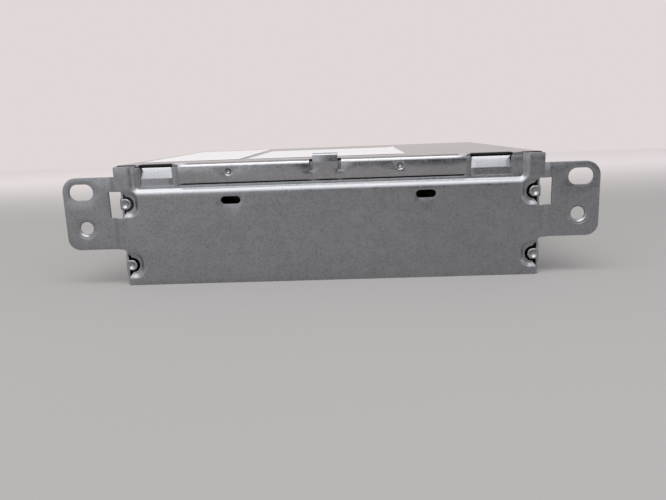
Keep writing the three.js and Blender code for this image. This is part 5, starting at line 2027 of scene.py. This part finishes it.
@dataclass
class Fan:
    """The small fan: a square housing with corner bosses, a hub plate on struts, and the rotor."""

    shop: PaintShop
    case: Case
    x: float = -19.5
    z: float = 25.6
    half: float = 20.0
    corner: float = 4.0
    start: float = 69.125
    end: float = 79.625
    duct: float = 18.8
    rim: float = 2.4
    boss: float = 3.4
    screw_offset: float = 16.0
    hub_radius: float = 9.2
    hub_plate: float = 1.8
    strut_width: float = 2.4
    pivot_y: float = 73.575
    rotor_half: float = 3.65
    tip_radius: float = 18.2
    blades: int = 7
    blade_root: float = 7.6
    blade_chord: float = 7.6
    chord_growth: float = 2.6
    blade_pitch: float = 48.0
    pitch_fall: float = 16.0
    blade_sweep: float = 16.0
    blade_camber: float = 0.75

    def screw_places(self) -> list[Point]:
        """The middles of the four screw bosses."""
        step = self.screw_offset
        return [(self.x + a * step, self.z + b * step) for a in (-1, 1) for b in (-1, 1)]

    def housing(self) -> bpy.types.Object:
        """Moulds the housing.

        Returns:
            The housing with its struts and hub plate.
        """
        size = self.half * 2
        duct = circle(self.x, self.z, self.duct, 96)
        holes = [duct, *(circle(x, z, self.case.screw_hole, 24) for x, z in self.screw_places())]
        plate = rectangle(self.x, self.z, size, size, self.corner)
        flare = circle(self.x, self.z, self.duct + 0.5, 96)
        holes_out = [flare, *holes[1:]]
        barrel = circle(self.x, self.z, self.half - 0.25, 96)
        pieces = [
            slab(plate, holes, "y", self.start, self.start + self.rim, 0.3, 12),
            slab(plate, holes_out, "y", self.end - self.rim, self.end, 0.35, 12),
            slab(barrel, [duct], "y", self.start + 0.5, self.end - 0.5, 0.1, 12),
        ]
        for x, z in self.screw_places():
            boss = circle(x, z, self.boss, 32)
            hole = circle(x, z, self.case.screw_hole, 24)
            pieces.append(slab(boss, [hole], "y", self.start + 0.6, self.end - 0.6, 0.1))
        hub = rounded_disc(self.hub_radius, self.hub_plate, 0.5)
        pieces.append(spun(hub, 64, self.x, self.end - self.hub_plate, self.z))
        dimple = rounded_disc(self.hub_radius - 2.2, 0.25, 0.15)
        pieces.append(spun(dimple, 64, self.x, self.end - 0.27, self.z))
        for k in range(3):
            reach, wide = self.duct + 0.8, self.strut_width / 2
            ring = rectangle(0, 0, wide * 2, self.hub_plate, 0.5)
            lengths = (self.hub_radius - 1, 13.0, reach)
            rings = [np.array([(u, v, length) for u, v in ring]) for length in lengths]
            strut = loft(rings).moved(Matrix.Rotation(math.tau * k / 3, 4, "Y"))
            pieces.append(strut.at(self.x, self.end - self.hub_plate / 2, self.z))
        shape = joined(pieces)
        return self.shop.piece("fan_housing", "fan_frame", shape, FAN_PLASTIC)

    def blade(self, index: int) -> Shape:
        """One swept and twisted blade.

        Args:
            index: Which of the blades.

        Returns:
            The blade as a closed shape, round the y axis.
        """
        rings = []
        for k in range(7):
            share = k / 6
            radius = self.blade_root + (self.tip_radius - self.blade_root) * share
            pitch = math.radians(self.blade_pitch - self.pitch_fall * share)
            chord = self.blade_chord + self.chord_growth * share
            sweep = math.radians(-self.blade_sweep * share**1.5) + math.tau * index / self.blades
            ring = []
            for step in range(14):
                angle = math.tau * step / 14
                along = math.cos(angle) * chord / 2
                camber = self.blade_camber * (1 - (2 * along / chord) ** 2)
                across = camber + math.sin(angle) * 0.5 * (1 - 0.5 * math.cos(angle))
                tangent = along * math.cos(pitch) - across * math.sin(pitch)
                depth = along * math.sin(pitch) + across * math.cos(pitch)
                depth = max(-self.rotor_half, min(self.rotor_half, depth))
                turn = sweep + tangent / radius
                ring.append((radius * math.cos(turn), depth, radius * math.sin(turn)))
            rings.append(np.array(ring))
        return loft(rings)

    def rotor(self) -> bpy.types.Object:
        """Moulds the rotor.

        Returns:
            The rotor, which turns on its own body.
        """
        half, radius = self.rotor_half, self.hub_radius - 0.5
        wall = [(0, -half), (radius - 1.2, -half), (radius - 0.35, -half + 0.25), (radius, -half + 1.0)]
        cup = spun([*wall, (radius, half), (0, half)], 64)
        cap = spun([(0, 0.0), (5.6, 0.0), (5.9, 0.15), (5.9, 0.3), (0, 0.3)], 48, 0, -half - 0.12, 0)
        shaft = spun([(0, 0), (1.45, 0), (1.45, 4.6), (1.1, 4.85), (0, 4.85)], 20)
        shape = joined([cup, cap, shaft, *(self.blade(k) for k in range(self.blades))])
        shape = shape.at(self.x, self.pivot_y, self.z)
        return self.shop.piece("fan_blades", "fan_rotor", shape, BLACK_PLASTIC, "rotor")

    def build(self) -> list[bpy.types.Object]:
        """Moulds the housing and the rotor."""
        return [self.housing(), self.rotor()]


@dataclass
class HarnessSocket:
    """The main socket: a black housing of four chambers with keys and latch ramps, and its contacts."""

    shop: PaintShop
    case: Case
    x: float = 23.2
    low: float = 8.4
    width: float = 42.0
    height: float = 28.0
    back: float = 58.875
    mouth: float = 77.375
    wall: float = 1.5
    upper_share: float = 0.42
    upper_count: int = 3
    contact_plate: float = 1.6
    pin_reach: float = 9.5
    pin_width: float = 0.8
    blade_width: float = 2.8
    row_share: float = 0.22

    def chambers(self) -> list[tuple[float, float, float, float, int, float]]:
        """Each chamber's left, right, bottom and top, its contacts in a row and their width.

        Returns:
            One row for each chamber.
        """
        left, right = self.x - self.width / 2 + self.wall, self.x + self.width / 2 - self.wall
        inside = self.height - self.wall * 3
        upper = inside * self.upper_share
        bottom = self.low + self.wall
        step = bottom + inside - upper
        found = [(left, right, bottom, step, 5, self.blade_width)]
        wide = (self.width - self.wall * (self.upper_count + 1)) / self.upper_count
        for k in range(self.upper_count):
            start = left + k * (wide + self.wall)
            found.append((start, start + wide, step + self.wall, step + self.wall + upper, 3, self.pin_width))
        return found

    def housing(self) -> bpy.types.Object:
        """Moulds the housing.

        Returns:
            The housing, open at the mouth.
        """
        middle = self.low + self.height / 2
        outline = rectangle(self.x, middle, self.width, self.height, 0.8)
        holes, lips = [], []
        for left, right, bottom, top, *_ in self.chambers():
            size = (right - left, top - bottom)
            holes.append(rectangle((left + right) / 2, (bottom + top) / 2, *size, 0.5))
            lips.append(rectangle((left + right) / 2, (bottom + top) / 2, size[0] + 0.6, size[1] + 0.6, 0.7))
        pieces = [
            slab(outline, holes, "y", self.back, self.mouth - 0.7, 0.2, 12),
            slab(outline, lips, "y", self.mouth - 0.7, self.mouth, 0.25, 12),
        ]
        for left, right, bottom, top, *_ in self.chambers():
            centre = (left + right) / 2
            key = panel(centre - 0.6, centre + 0.6, top - 0.9, top + 0.4, (0.2, 0.2, 0.0, 0.0))
            guide = panel(left - 0.3, left + 0.7, bottom + 1.2, bottom + 2.2, (0.0, 0.2, 0.2, 0.0))
            for rib in (key, guide):
                pieces.append(slab(rib, [], "y", self.back + 2, self.mouth - 1.6, 0.15))
        shape = joined(pieces)
        return self.shop.piece("harness_housing", "harness_socket", shape, BLACK_PLASTIC)

    def contacts(self) -> bpy.types.Object:
        """Stamps the contacts, in their carrier.

        Returns:
            The contacts.
        """
        rear = self.back - self.case.seat
        inset = self.wall / 2
        width, height = self.width - inset * 2, self.height - inset * 2
        outline = rectangle(self.x, self.low + self.height / 2, width, height, 0.5)
        pieces = [slab(outline, [], "y", rear - self.contact_plate, rear, 0.2)]
        for left, right, bottom, top, count, width in self.chambers():
            for k in range(count):
                x = left + (right - left) * (k + 0.5) / count
                for sign in (-1, 1):
                    z = (bottom + top) / 2 + (top - bottom) * self.row_share * sign
                    pieces.append(self.pin(x, z, width))
        shape = joined(pieces)
        return self.shop.piece("harness_pins", "harness_contacts", shape, CONTACT_TIN)

    def pin(self, x: float, z: float, width: float) -> Shape:
        """One contact blade with a chamfered tip.

        Args:
            x: Its place across the socket.
            z: Its height.
            width: Its width.

        Returns:
            The closed shape.
        """
        start = self.back - self.case.seat - self.contact_plate / 2
        end = self.back - self.case.seat + self.pin_reach
        rings = []
        for y, share in ((start, 1.0), (end - 0.9, 1.0), (end - 0.15, 0.55), (end, 0.4)):
            wide = width * (share if width < 1 else share * 0.3 + 0.7)
            ring = rectangle(0, 0, wide, self.pin_width * share, 0.08 * share)
            rings.append(np.array([(x + u, y, z - v) for u, v in ring]))
        return loft(rings)

    def build(self) -> list[bpy.types.Object]:
        """Makes the housing and its contacts."""
        return [self.housing(), self.contacts()]


@dataclass
class AerialSocket:
    """A coloured coaxial socket: a block behind the wall and a keyed tube with its centre pin."""

    shop: PaintShop
    case: Case
    number: int
    x: float
    finish: Finish
    z: float = 13.6
    tube: float = 4.5
    bore: float = 3.7
    reach: float = 78.375
    block: tuple[float, float, float] = (9.6, 12.0, 11.0)
    pin: float = 0.5
    pin_reach: float = 72.875

    def build(self) -> bpy.types.Object:
        """Moulds the socket.

        Returns:
            The socket.
        """
        back = self.case.rear - self.case.sheet - self.case.seat
        width, depth, height = self.block
        body = slab(rectangle(self.x, self.z, width, height, 0.9), [], "y", back - depth, back, 0.35)
        floor = back - 1.0
        length = self.reach - floor
        deep = 1.0
        tube, bore = self.tube, self.bore
        profile = [(0.0, 0.0), (tube, 0.0), (tube, length - 0.35), (tube - 0.12, length - 0.1)]
        profile += [(tube - 0.35, length), (bore + 0.3, length), (bore, length - 0.35), (bore, deep), (0.0, deep)]
        pieces = [body, spun(profile, 56, self.x, floor, self.z)]
        inner, outer = bore - 0.3, tube + 0.15
        collar = [(inner, 0.0), (outer, 0.0), (outer, 0.7), (tube - 0.2, 0.9), (inner, 0.9)]
        pieces.append(spun(collar, 56, self.x, self.case.rear + 0.05, self.z))
        for turn in (-38, 38, 180):
            rib = turned(panel(-0.5, 0.5, tube - 0.35, tube + 0.25, (0.0, 0.0, 0.2, 0.2)), turn)
            outline = [(self.x + u, self.z + v) for u, v in rib]
            pieces.append(slab(outline, [], "y", self.case.rear + 0.3, self.reach - 1.6, 0.12))
        latch = panel(self.x - 1.3, self.x + 1.3, self.z + 4.1, self.z + 5.2, (0.0, 0.0, 0.3, 0.3))
        pieces.append(slab(latch, [], "y", self.reach - 4.4, self.reach - 2.2, 0.3))
        collet = [(0.0, 0.0), (1.7, 0.0), (1.7, 3.2), (1.45, 3.5), (1.15, 3.5), (1.05, 3.2), (1.05, 1.0)]
        collet.append((0.0, 1.0))
        pieces.append(spun(collet, 32, self.x, floor + deep - 0.05, self.z))
        stem = self.pin_reach - floor
        core = [(0, 0), (self.pin, 0), (self.pin, stem - 0.4), (self.pin * 0.4, stem), (0, stem)]
        pieces.append(spun(core, 16, self.x, floor, self.z))
        shape = joined(pieces)
        return self.shop.piece(f"aerial_tube_{self.number}", f"aerial_socket_{self.number}", shape, self.finish)


@dataclass
class DataSocket:
    """A drawn tin shell with a rolled lip, grip springs and a tongue."""

    shop: PaintShop
    case: Case
    number: int
    x: float
    z: float = 31.95
    width: float = 13.4
    height: float = 7.0
    wall: float = 0.55
    back: float = 53.625
    mouth: float = 74.375

    def build(self) -> bpy.types.Object:
        """Folds the shell.

        Returns:
            The socket.
        """
        outer = rectangle(self.x, self.z, self.width - 0.7, self.height - 0.7, 0.9)
        width, height = self.width - 0.7 - self.wall * 2, self.height - 0.7 - self.wall * 2
        inner = rectangle(self.x, self.z, width, height, 0.5)
        lip = rectangle(self.x, self.z, self.width, self.height, 1.1)
        pieces = [
            slab(outer, [inner], "y", self.back + 1.5, self.mouth - 0.2, 0.12, 6),
            slab(lip, [inner], "y", self.mouth - 0.75, self.mouth, 0.25, 6),
            slab(outer, [], "y", self.back, self.back + 2.0, 0.2, 6),
        ]
        for sign in (-1, 1):
            for shift in (-3.0, 3.0):
                edge = self.z + (self.height / 2 - 0.35 - self.wall) * sign
                x = self.x + shift
                spring = [(x - 1.0, 64.0), (x + 1.0, 64.0), (x + 0.8, 71.5, 0.4), (x - 0.8, 71.5, 0.4)]
                start, end = sorted((edge + 0.1 * sign, edge - 0.35 * sign))
                pieces.append(slab(rounded(spring), [], "z", start, end, 0.1))
        tongue = rectangle(self.x, self.z, self.width - 3.6, 1.8, 0.3)
        pieces.append(slab(tongue, [], "y", self.back + 1, self.case.rear - 1.0, 0.25))
        for k in range(4):
            x = self.x + (k - 1.5) * 2.1
            pad = panel(x - 0.5, x + 0.5, self.back + 3, self.case.rear - 1.6, (0.0, 0.0, 0.2, 0.2))
            pieces.append(slab(pad, [], "z", self.z - 1.05, self.z - 0.8, 0.08))
        shape = joined(pieces)
        return self.shop.piece(f"data_shell_{self.number}", f"data_socket_{self.number}", shape, TIN_PLATE)


# Labels, screws and what lies inside


@dataclass
class Label:
    """A blank paper label that has lifted a little at one corner."""

    shop: PaintShop
    case: Case
    name: str
    x: float
    y: float
    width: float
    depth: float
    turn: float
    lift: float = 0.5
    thickness: float = 0.14

    def build(self) -> bpy.types.Object:
        """Cuts and lays the label.

        Returns:
            The label.
        """
        outline = rectangle(0, 0, self.width, self.depth, 1.2)
        top = self.case.height + 0.05

        def place(flat: Array) -> Array:
            """Lays the label on the cover, with one corner lifted a little.

            Args:
                flat: The points on the blank.

            Returns:
                The points on the cover.
            """
            share = np.abs(flat) / (self.width / 2, self.depth / 2)
            corner = np.clip((share.prod(1) - 0.86) / 0.14, 0, 1) ** 2
            height = top + self.thickness + self.lift * corner * (flat[:, 0] > 0) * (flat[:, 1] > 0)
            height += 0.015 * np.sin(flat[:, 0] / 4.7) * np.sin(flat[:, 1] / 6.1)
            return np.column_stack([flat, height])

        blank = Blank(outline, [], [], 3.0, 0.05)
        shape = sheet(blank, place, self.thickness, None, (0, 0, 1), 0.0)
        c, s = math.cos(self.turn), math.sin(self.turn)
        matrix = Matrix(((c, -s, 0, self.x), (s, c, 0, self.y), (0, 0, 1, 0), (0, 0, 0, 1)))
        shape = shape.moved(matrix)
        return self.shop.piece("blank_" + self.name, self.name, shape, LABEL_PAPER)


class Head(Enum):
    """The kinds of screw head."""

    PAN = "pan"
    FLAT = "flat"


@dataclass
class Screws:
    """All the cross-head screws, each kind with one shared mesh."""

    shop: PaintShop
    case: Case
    radius: float = 2.9
    shaft: float = 1.5
    pan_height: float = 1.6
    flat_height: float = 0.9
    drive_length: float = 2.7
    drive_width: float = 0.62
    drive_depth: float = 0.95
    cover_places: tuple[float, Point, float] = (89.2, (-46.125, 4.875), 45.6)
    base_places: tuple[float, Point, float] = (81.8, (-61.125, 44.875), 0.125)
    rear_places: tuple[float, Point] = (81.8, (12.0, 41.0))
    board_places: tuple[float, Point, float] = (69.8, (-59.125, 50.875), 8.1)
    fan_middle: tuple[float, float, float] = (-19.5, 79.875, 25.6)
    fan_offset: float = 16.0
    sink_face: Point = (-61.0, 73.375)
    sink_heights: Point = (10.2, 41.8)
    clamp_place: tuple[float, float, float] = (-61.0, 61.575, 33.0)
    meshes: dict[tuple[Head, float], bpy.types.Mesh] = field(default_factory=dict)

    def recess(self, flat: Array) -> Array:
        """How deep the cross is cut at each point of the head.

        Args:
            flat: The points on the head.

        Returns:
            The depths.
        """
        far, near = np.abs(flat).max(1), np.abs(flat).min(1)
        across = np.clip((self.drive_width / 2 - near) / 0.12 + 0.5, 0, 1)
        along = np.clip((self.drive_length / 2 - far) / 0.55 + 0.1, 0, 1)
        cone = np.clip((0.95 - np.hypot(flat[:, 0], flat[:, 1])) / 0.3, 0, 1) * 0.85
        return self.drive_depth * np.maximum(across * along, cone)

    def cross(self, grow: float) -> Loop:
        """The outline of the cross, grown by a width.

        Args:
            grow: The width.

        Returns:
            The closed outline.
        """
        a, b = self.drive_width / 2 + grow, self.drive_length / 2 + grow
        corners = [(a, a), (b, a), (b, -a), (a, -a), (a, -b), (-a, -b)]
        corners += [(-u, -v) for u, v in corners]
        return corners[::-1]

    def head(self, kind: Head) -> Shape:
        """A head with its rim, dome and cross.

        Args:
            kind: Pan or flat.

        Returns:
            The head, with its seat at z = 0 for a pan head and its face at z = 0 for a flat one.
        """
        rings = [self.radius - d for d in (0.04, 0.12, 0.25, 0.45, 0.8, 1.2)] + [1.15, 0.95, 0.75, 0.6]
        creases = [(circle(0, 0, r, 40), True) for r in rings]
        creases += [(self.cross(g), True) for g in (0.06, -0.06)]
        blank = Blank(circle(0, 0, self.radius, 40), [], creases, 0.4, 0.0)
        if kind is Head.FLAT:

            def level(flat: Array) -> Array:
                """The height of the flat head."""
                gap = np.clip(0.12 - (self.radius - np.hypot(flat[:, 0], flat[:, 1])), 0, 1)
                return -0.6 * gap - self.recess(flat)

            top = crowned(blank, level, -self.flat_height)
            low = top.points[:, 2] <= -self.flat_height + ON_AXIS
            top.points[low, :2] *= self.shaft / self.radius
            return top

        def dome(flat: Array) -> Array:
            """The height of the pan head."""
            share = np.clip(np.hypot(flat[:, 0], flat[:, 1]) / self.radius, 0, 1)
            crown = (1 - share**2.6) ** 0.62
            return 0.55 + (self.pan_height - 0.55) * crown - self.recess(flat) * (share < 0.8)

        return crowned(blank, dome, 0.0)

    def stem(self, length: float) -> Shape:
        """A threaded shaft below the head.

        Args:
            length: Its length.

        Returns:
            The closed shape.
        """
        profile = [(0.0, -length), (self.shaft * 0.55, -length), (self.shaft * 0.9, -length + 0.7)]
        pitch, level = 0.7, -length + 0.9
        while level < -0.9:
            profile += [(self.shaft, level), (self.shaft - 0.22, level + pitch / 2)]
            level += pitch
        profile += [(self.shaft, -0.4), (self.shaft, 0.3), (0.0, 0.3)]
        return lathe(profile, 20)

    def mesh(self, kind: Head, length: float) -> bpy.types.Mesh:
        """The shared mesh of one kind and length.

        Args:
            kind: The kind of head.
            length: The length of the shaft.

        Returns:
            The mesh, made on first use.
        """
        key = (kind, length)
        if key not in self.meshes:
            stem = self.stem(length)
            if kind is Head.FLAT:
                stem = Shape(stem.points - (0, 0, self.flat_height), stem.faces)
            shape = joined([self.head(kind), stem])
            sample = new_object("sample", shape)
            self.shop.dress(sample, SCREW_STEEL)
            self.meshes[key] = sample.data
            bpy.data.objects.remove(sample)
            self.meshes[key].name = f"screw_{kind.value}_{length:g}"
        return self.meshes[key]

    def put(
        self, node: str, kind: Head, length: float, place: Sequence[float], along: str, turn: float
    ) -> bpy.types.Object:
        """Drives one screw.

        Args:
            node: The screw that it stands for.
            kind: Its head.
            length: The length of its shaft.
            place: Where its head sits.
            along: The way that its head looks.
            turn: How far it is turned, in degrees.

        Returns:
            The screw.
        """
        obj = bpy.data.objects.new("fine_" + node, self.mesh(kind, length))
        bpy.context.scene.collection.objects.link(obj)
        spin = Matrix.Rotation(math.radians(turn), 4, "Z")
        obj.matrix_world = Matrix.Translation(Vector(place) * MM) @ ALONG[along] @ spin
        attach(obj, "case")
        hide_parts(node)
        return obj

    def build(self) -> list[bpy.types.Object]:
        """Drives all the screws.

        Returns:
            The screws.
        """
        made: list[bpy.types.Object] = []
        rear = self.case.rear + self.case.seat
        count = 0
        for side in (-1, 1):
            for near in (0, 1):
                count += 1
                turn = (count * 67) % 90
                x, y, z = self.cover_places
                place = (x * side, y[near], z)
                outward = "+x" if side > 0 else "-x"
                made.append(self.put(f"cover_screw_{count}", Head.PAN, 6.0, place, outward, turn))
                x, y, z = self.base_places
                place = (x * side, y[near], z)
                made.append(self.put(f"base_screw_{count}", Head.FLAT, 4.1, place, "-z", turn + 20))
                place = (self.rear_places[0] * side, rear, self.rear_places[1][near])
                made.append(self.put(f"rear_screw_{count}", Head.PAN, 6.0, place, "+y", turn + 40))
                x, y, z = self.board_places
                place = (x * side, y[near], z)
                made.append(self.put(f"board_screw_{count}", Head.PAN, 6.0, place, "+z", turn + 10))
                x, y, z = self.fan_middle
                place = (x + self.fan_offset * side, y, z + self.fan_offset * (near * 2 - 1))
                made.append(self.put(f"fan_screw_{count}", Head.PAN, 16.5, place, "+y", turn + 55))
        for index, z in enumerate(self.sink_heights):
            place = (*self.sink_face, z)
            made.append(self.put(f"sink_screw_{index + 1}", Head.PAN, 10.0, place, "+y", 25 + 40 * index))
        made.append(self.put("clamp_screw", Head.PAN, 5.8, self.clamp_place, "-y", 15))
        return made


@dataclass
class Inside:
    """What lies inside the case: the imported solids, with softened edges and their finishes."""

    shop: PaintShop
    finishes: dict[str, Finish] = field(
        default_factory=lambda: {
            "main_board": BOARD_GREEN,
            "upper_board": BOARD_GREEN,
            "board_pillar": CONTACT_TIN,
            "board_link": IVORY_PLASTIC,
            "processor_can": TIN_PLATE,
            "tuner_can": TIN_PLATE,
            "amplifier_chip": CHIP_BLACK,
            "amplifier_clamp": CASE_STEEL,
            "capacitor": CAN_SLEEVE,
            "power_coil": FERRITE,
            "fan_plug": IVORY_PLASTIC,
        }
    )
    softness: float = 0.15

    def build(self, nodes: dict[str, bpy.types.Object]) -> list[bpy.types.Object]:
        """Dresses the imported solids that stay.

        Args:
            nodes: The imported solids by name.

        Returns:
            Those that were dressed.
        """
        made: list[bpy.types.Object] = []
        for name, obj in nodes.items():
            stem = name.rstrip("0123456789").rstrip("_")
            finish = self.finishes.get(name) or self.finishes.get(stem)
            if finish is None:
                continue
            self.shop.dress(obj, finish)
            bevel = obj.modifiers.new("soft_edges", "BEVEL")
            bevel.width = self.softness * MM
            bevel.segments = 2
            bevel.limit_method = "ANGLE"
            bevel.angle_limit = SHARP_ANGLE
            made.append(obj)
        return made


# Studio


@dataclass
class Studio:
    """The floor, the backdrop, the lamps and the camera."""

    lens: float = 32.16
    camera_place: tuple[float, float, float] = (10.09, -331.26, 63.2)
    yaw: float = 2.03
    pitch: float = 11.54
    roll: float = -2.12
    floor_reach: tuple[float, float] = (6.0, 0.9)
    wall: tuple[float, float, float, float] = (0.75, 0.69, 0.685, 1.0)

    def camera(self) -> None:
        """Places the camera where the photograph was taken from."""
        data = bpy.data.cameras.new("camera")
        data.lens = self.lens
        data.sensor_width = 36.0
        data.sensor_fit = "HORIZONTAL"
        data.clip_start = 0.01
        data.clip_end = 50.0
        obj = bpy.data.objects.new("camera", data)
        bpy.context.scene.collection.objects.link(obj)
        turn = Matrix.Rotation(math.radians(self.yaw), 4, "Z")
        turn = turn @ Matrix.Rotation(math.radians(90 - self.pitch), 4, "X")
        turn = turn @ Matrix.Rotation(math.radians(self.roll), 4, "Z")
        obj.matrix_world = Matrix.Translation(Vector(self.camera_place) * MM) @ turn
        bpy.context.scene.camera = obj

    def floor(self) -> None:
        """Lays a plain pale floor, paler behind the unit where the wall of the photograph stands."""
        reach, far = self.floor_reach
        mesh = bpy.data.meshes.new("floor")
        corners = [(-reach, -reach, 0), (reach, -reach, 0), (reach, far, 0), (-reach, far, 0)]
        mesh.from_pydata(corners, [], [(0, 1, 2, 3)])
        obj = bpy.data.objects.new("floor", mesh)
        bpy.context.scene.collection.objects.link(obj)
        material = bpy.data.materials.new("pale_floor")
        material.use_nodes = True
        wiring = Wiring(material.node_tree)
        shader = material.node_tree.nodes["Principled BSDF"]
        place = wiring.add("TexCoord").outputs["Object"]
        away = wiring.span(wiring.add("SeparateXYZ", {0: place}).outputs[1], 0.1, 0.6, 0.0, 1.0)
        cloud = wiring.noise(place, 3.0, 2.0, 0.5)
        colour = wiring.blend(cloud, (0.42, 0.405, 0.4, 1), (0.455, 0.44, 0.43, 1))
        colour = wiring.blend(away, colour, (0.93, 0.86, 0.855, 1))
        material.node_tree.links.new(colour, shader.inputs["Base Color"])
        shader.inputs["Roughness"].default_value = 0.9
        shader.inputs["Specular IOR Level"].default_value = 0.1
        mesh.materials.append(material)

    def world(self) -> None:
        """Lights the scene softly: a pale wall behind, a room in front, and the plain wall for the camera."""
        world = bpy.data.worlds.new("room")
        world.use_nodes = True
        bpy.context.scene.world = world
        tree = world.node_tree
        tree.nodes.clear()
        wiring = Wiring(tree)
        direction = wiring.add("TexCoord").outputs["Generated"]
        parts = wiring.add("SeparateXYZ", {0: direction})
        behind = wiring.span(parts.outputs[1], -0.35, 0.5, 0.0, 1.0)
        above = wiring.span(parts.outputs[2], 0.0, 0.42, 0.0, 1.0)
        near: object = (0.4, 0.4, 0.41, 1)
        bands = ((-0.985, -0.94, 0.92), (-0.3, -0.05, 0.28), (-0.08, 0.12, 0.05), (0.6, 0.85, 1.0))
        for start, end, grey in bands:
            share = wiring.span(parts.outputs[0], start, end, 0.0, 1.0)
            near = wiring.blend(share, near, (grey, grey, grey * 1.05, 1))
        level = wiring.blend(behind, near, self.wall)
        rays = wiring.add("LightPath").outputs
        mirrored_wall = wiring.maths("MAXIMUM", rays["Is Glossy Ray"], rays["Is Transmission Ray"])
        overhead = wiring.blend(mirrored_wall, (0.5, 0.49, 0.49, 1), self.wall)
        high = wiring.blend(behind, (0.68, 0.69, 0.72, 1), overhead)
        sky = wiring.blend(rays["Is Camera Ray"], wiring.blend(above, level, high), self.wall)
        plain = wiring.add("Background", {"Color": sky, "Strength": 1.0})
        wiring.add("OutputWorld", {"Surface": plain.outputs[0]})

    def lamp(
        self,
        name: str,
        place: Sequence[float],
        aim: Sequence[float],
        size: Point,
        power: float,
        tint: Sequence[float],
    ) -> None:
        """Adds one soft rectangular lamp.

        Args:
            name: Its name.
            place: Where it hangs, in metres.
            aim: What it points at, in metres.
            size: Its width and height in metres.
            power: Its power in watts.
            tint: Its colour.
        """
        data = bpy.data.lights.new(name, "AREA")
        data.shape = "RECTANGLE"
        data.size, data.size_y = size
        data.energy = power
        data.color = tint
        obj = bpy.data.objects.new(name, data)
        bpy.context.scene.collection.objects.link(obj)
        obj.location = place
        obj.rotation_euler = (Vector(aim) - Vector(place)).to_track_quat("-Z", "Y").to_euler()

    def build(self) -> None:
        """Sets up everything round the part."""
        scene = bpy.context.scene
        scene.view_settings.view_transform = "Standard"
        self.camera()
        self.floor()
        self.world()
        self.lamp("overhead", (-0.1, -0.58, 1.39), (0, -0.085, 0.045), (1.7, 0.66), 9.6, (1.0, 1.0, 1.0))
        self.lamp("key", (-0.25, -1.2, 1.05), (0, -0.085, 0.045), (1.7, 0.7), 5.2, (1.0, 1.0, 1.0))


# Main


def main() -> None:
    """Builds the unit's pieces in order and the studio round them."""
    logging.basicConfig(level=logging.INFO, format="%(message)s")
    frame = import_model()
    shop = PaintShop()
    case = Case()
    makers = [
        FrontPlate(shop, case),
        TopCover(shop, case),
        SidePlate(shop, case, -1),
        SidePlate(shop, case, 1),
        BasePlate(shop, case),
        RearPlate(shop, case),
        Cooler(shop),
        Fan(shop, case),
        HarnessSocket(shop, case),
        AerialSocket(shop, case, 1, 50.5, AERIAL_BLUE),
        AerialSocket(shop, case, 2, 61.0, AERIAL_VIOLET),
        AerialSocket(shop, case, 3, 71.5, AERIAL_CREAM),
        DataSocket(shop, case, 1, 54.5),
        DataSocket(shop, case, 2, 70.2),
        Label(shop, case, "label_left", -62.0, -5.125, 43.0, 118.0, 0.014),
        Label(shop, case, "label_centre", -0.5, -23.125, 70.0, 84.0, -0.01),
        Screws(shop, case),
    ]
    for maker in makers:
        made = maker.build()
        pieces = made if isinstance(made, list) else [made]
        for piece in pieces:
            LOG.info("%s: %s, %d points", type(maker).__name__, piece.name, len(piece.data.vertices))
    for piece in Inside(shop).build(frame["nodes"]):
        LOG.info("Inside: %s", piece.name)
    Studio().build()


if __name__ == "__main__":
    main()
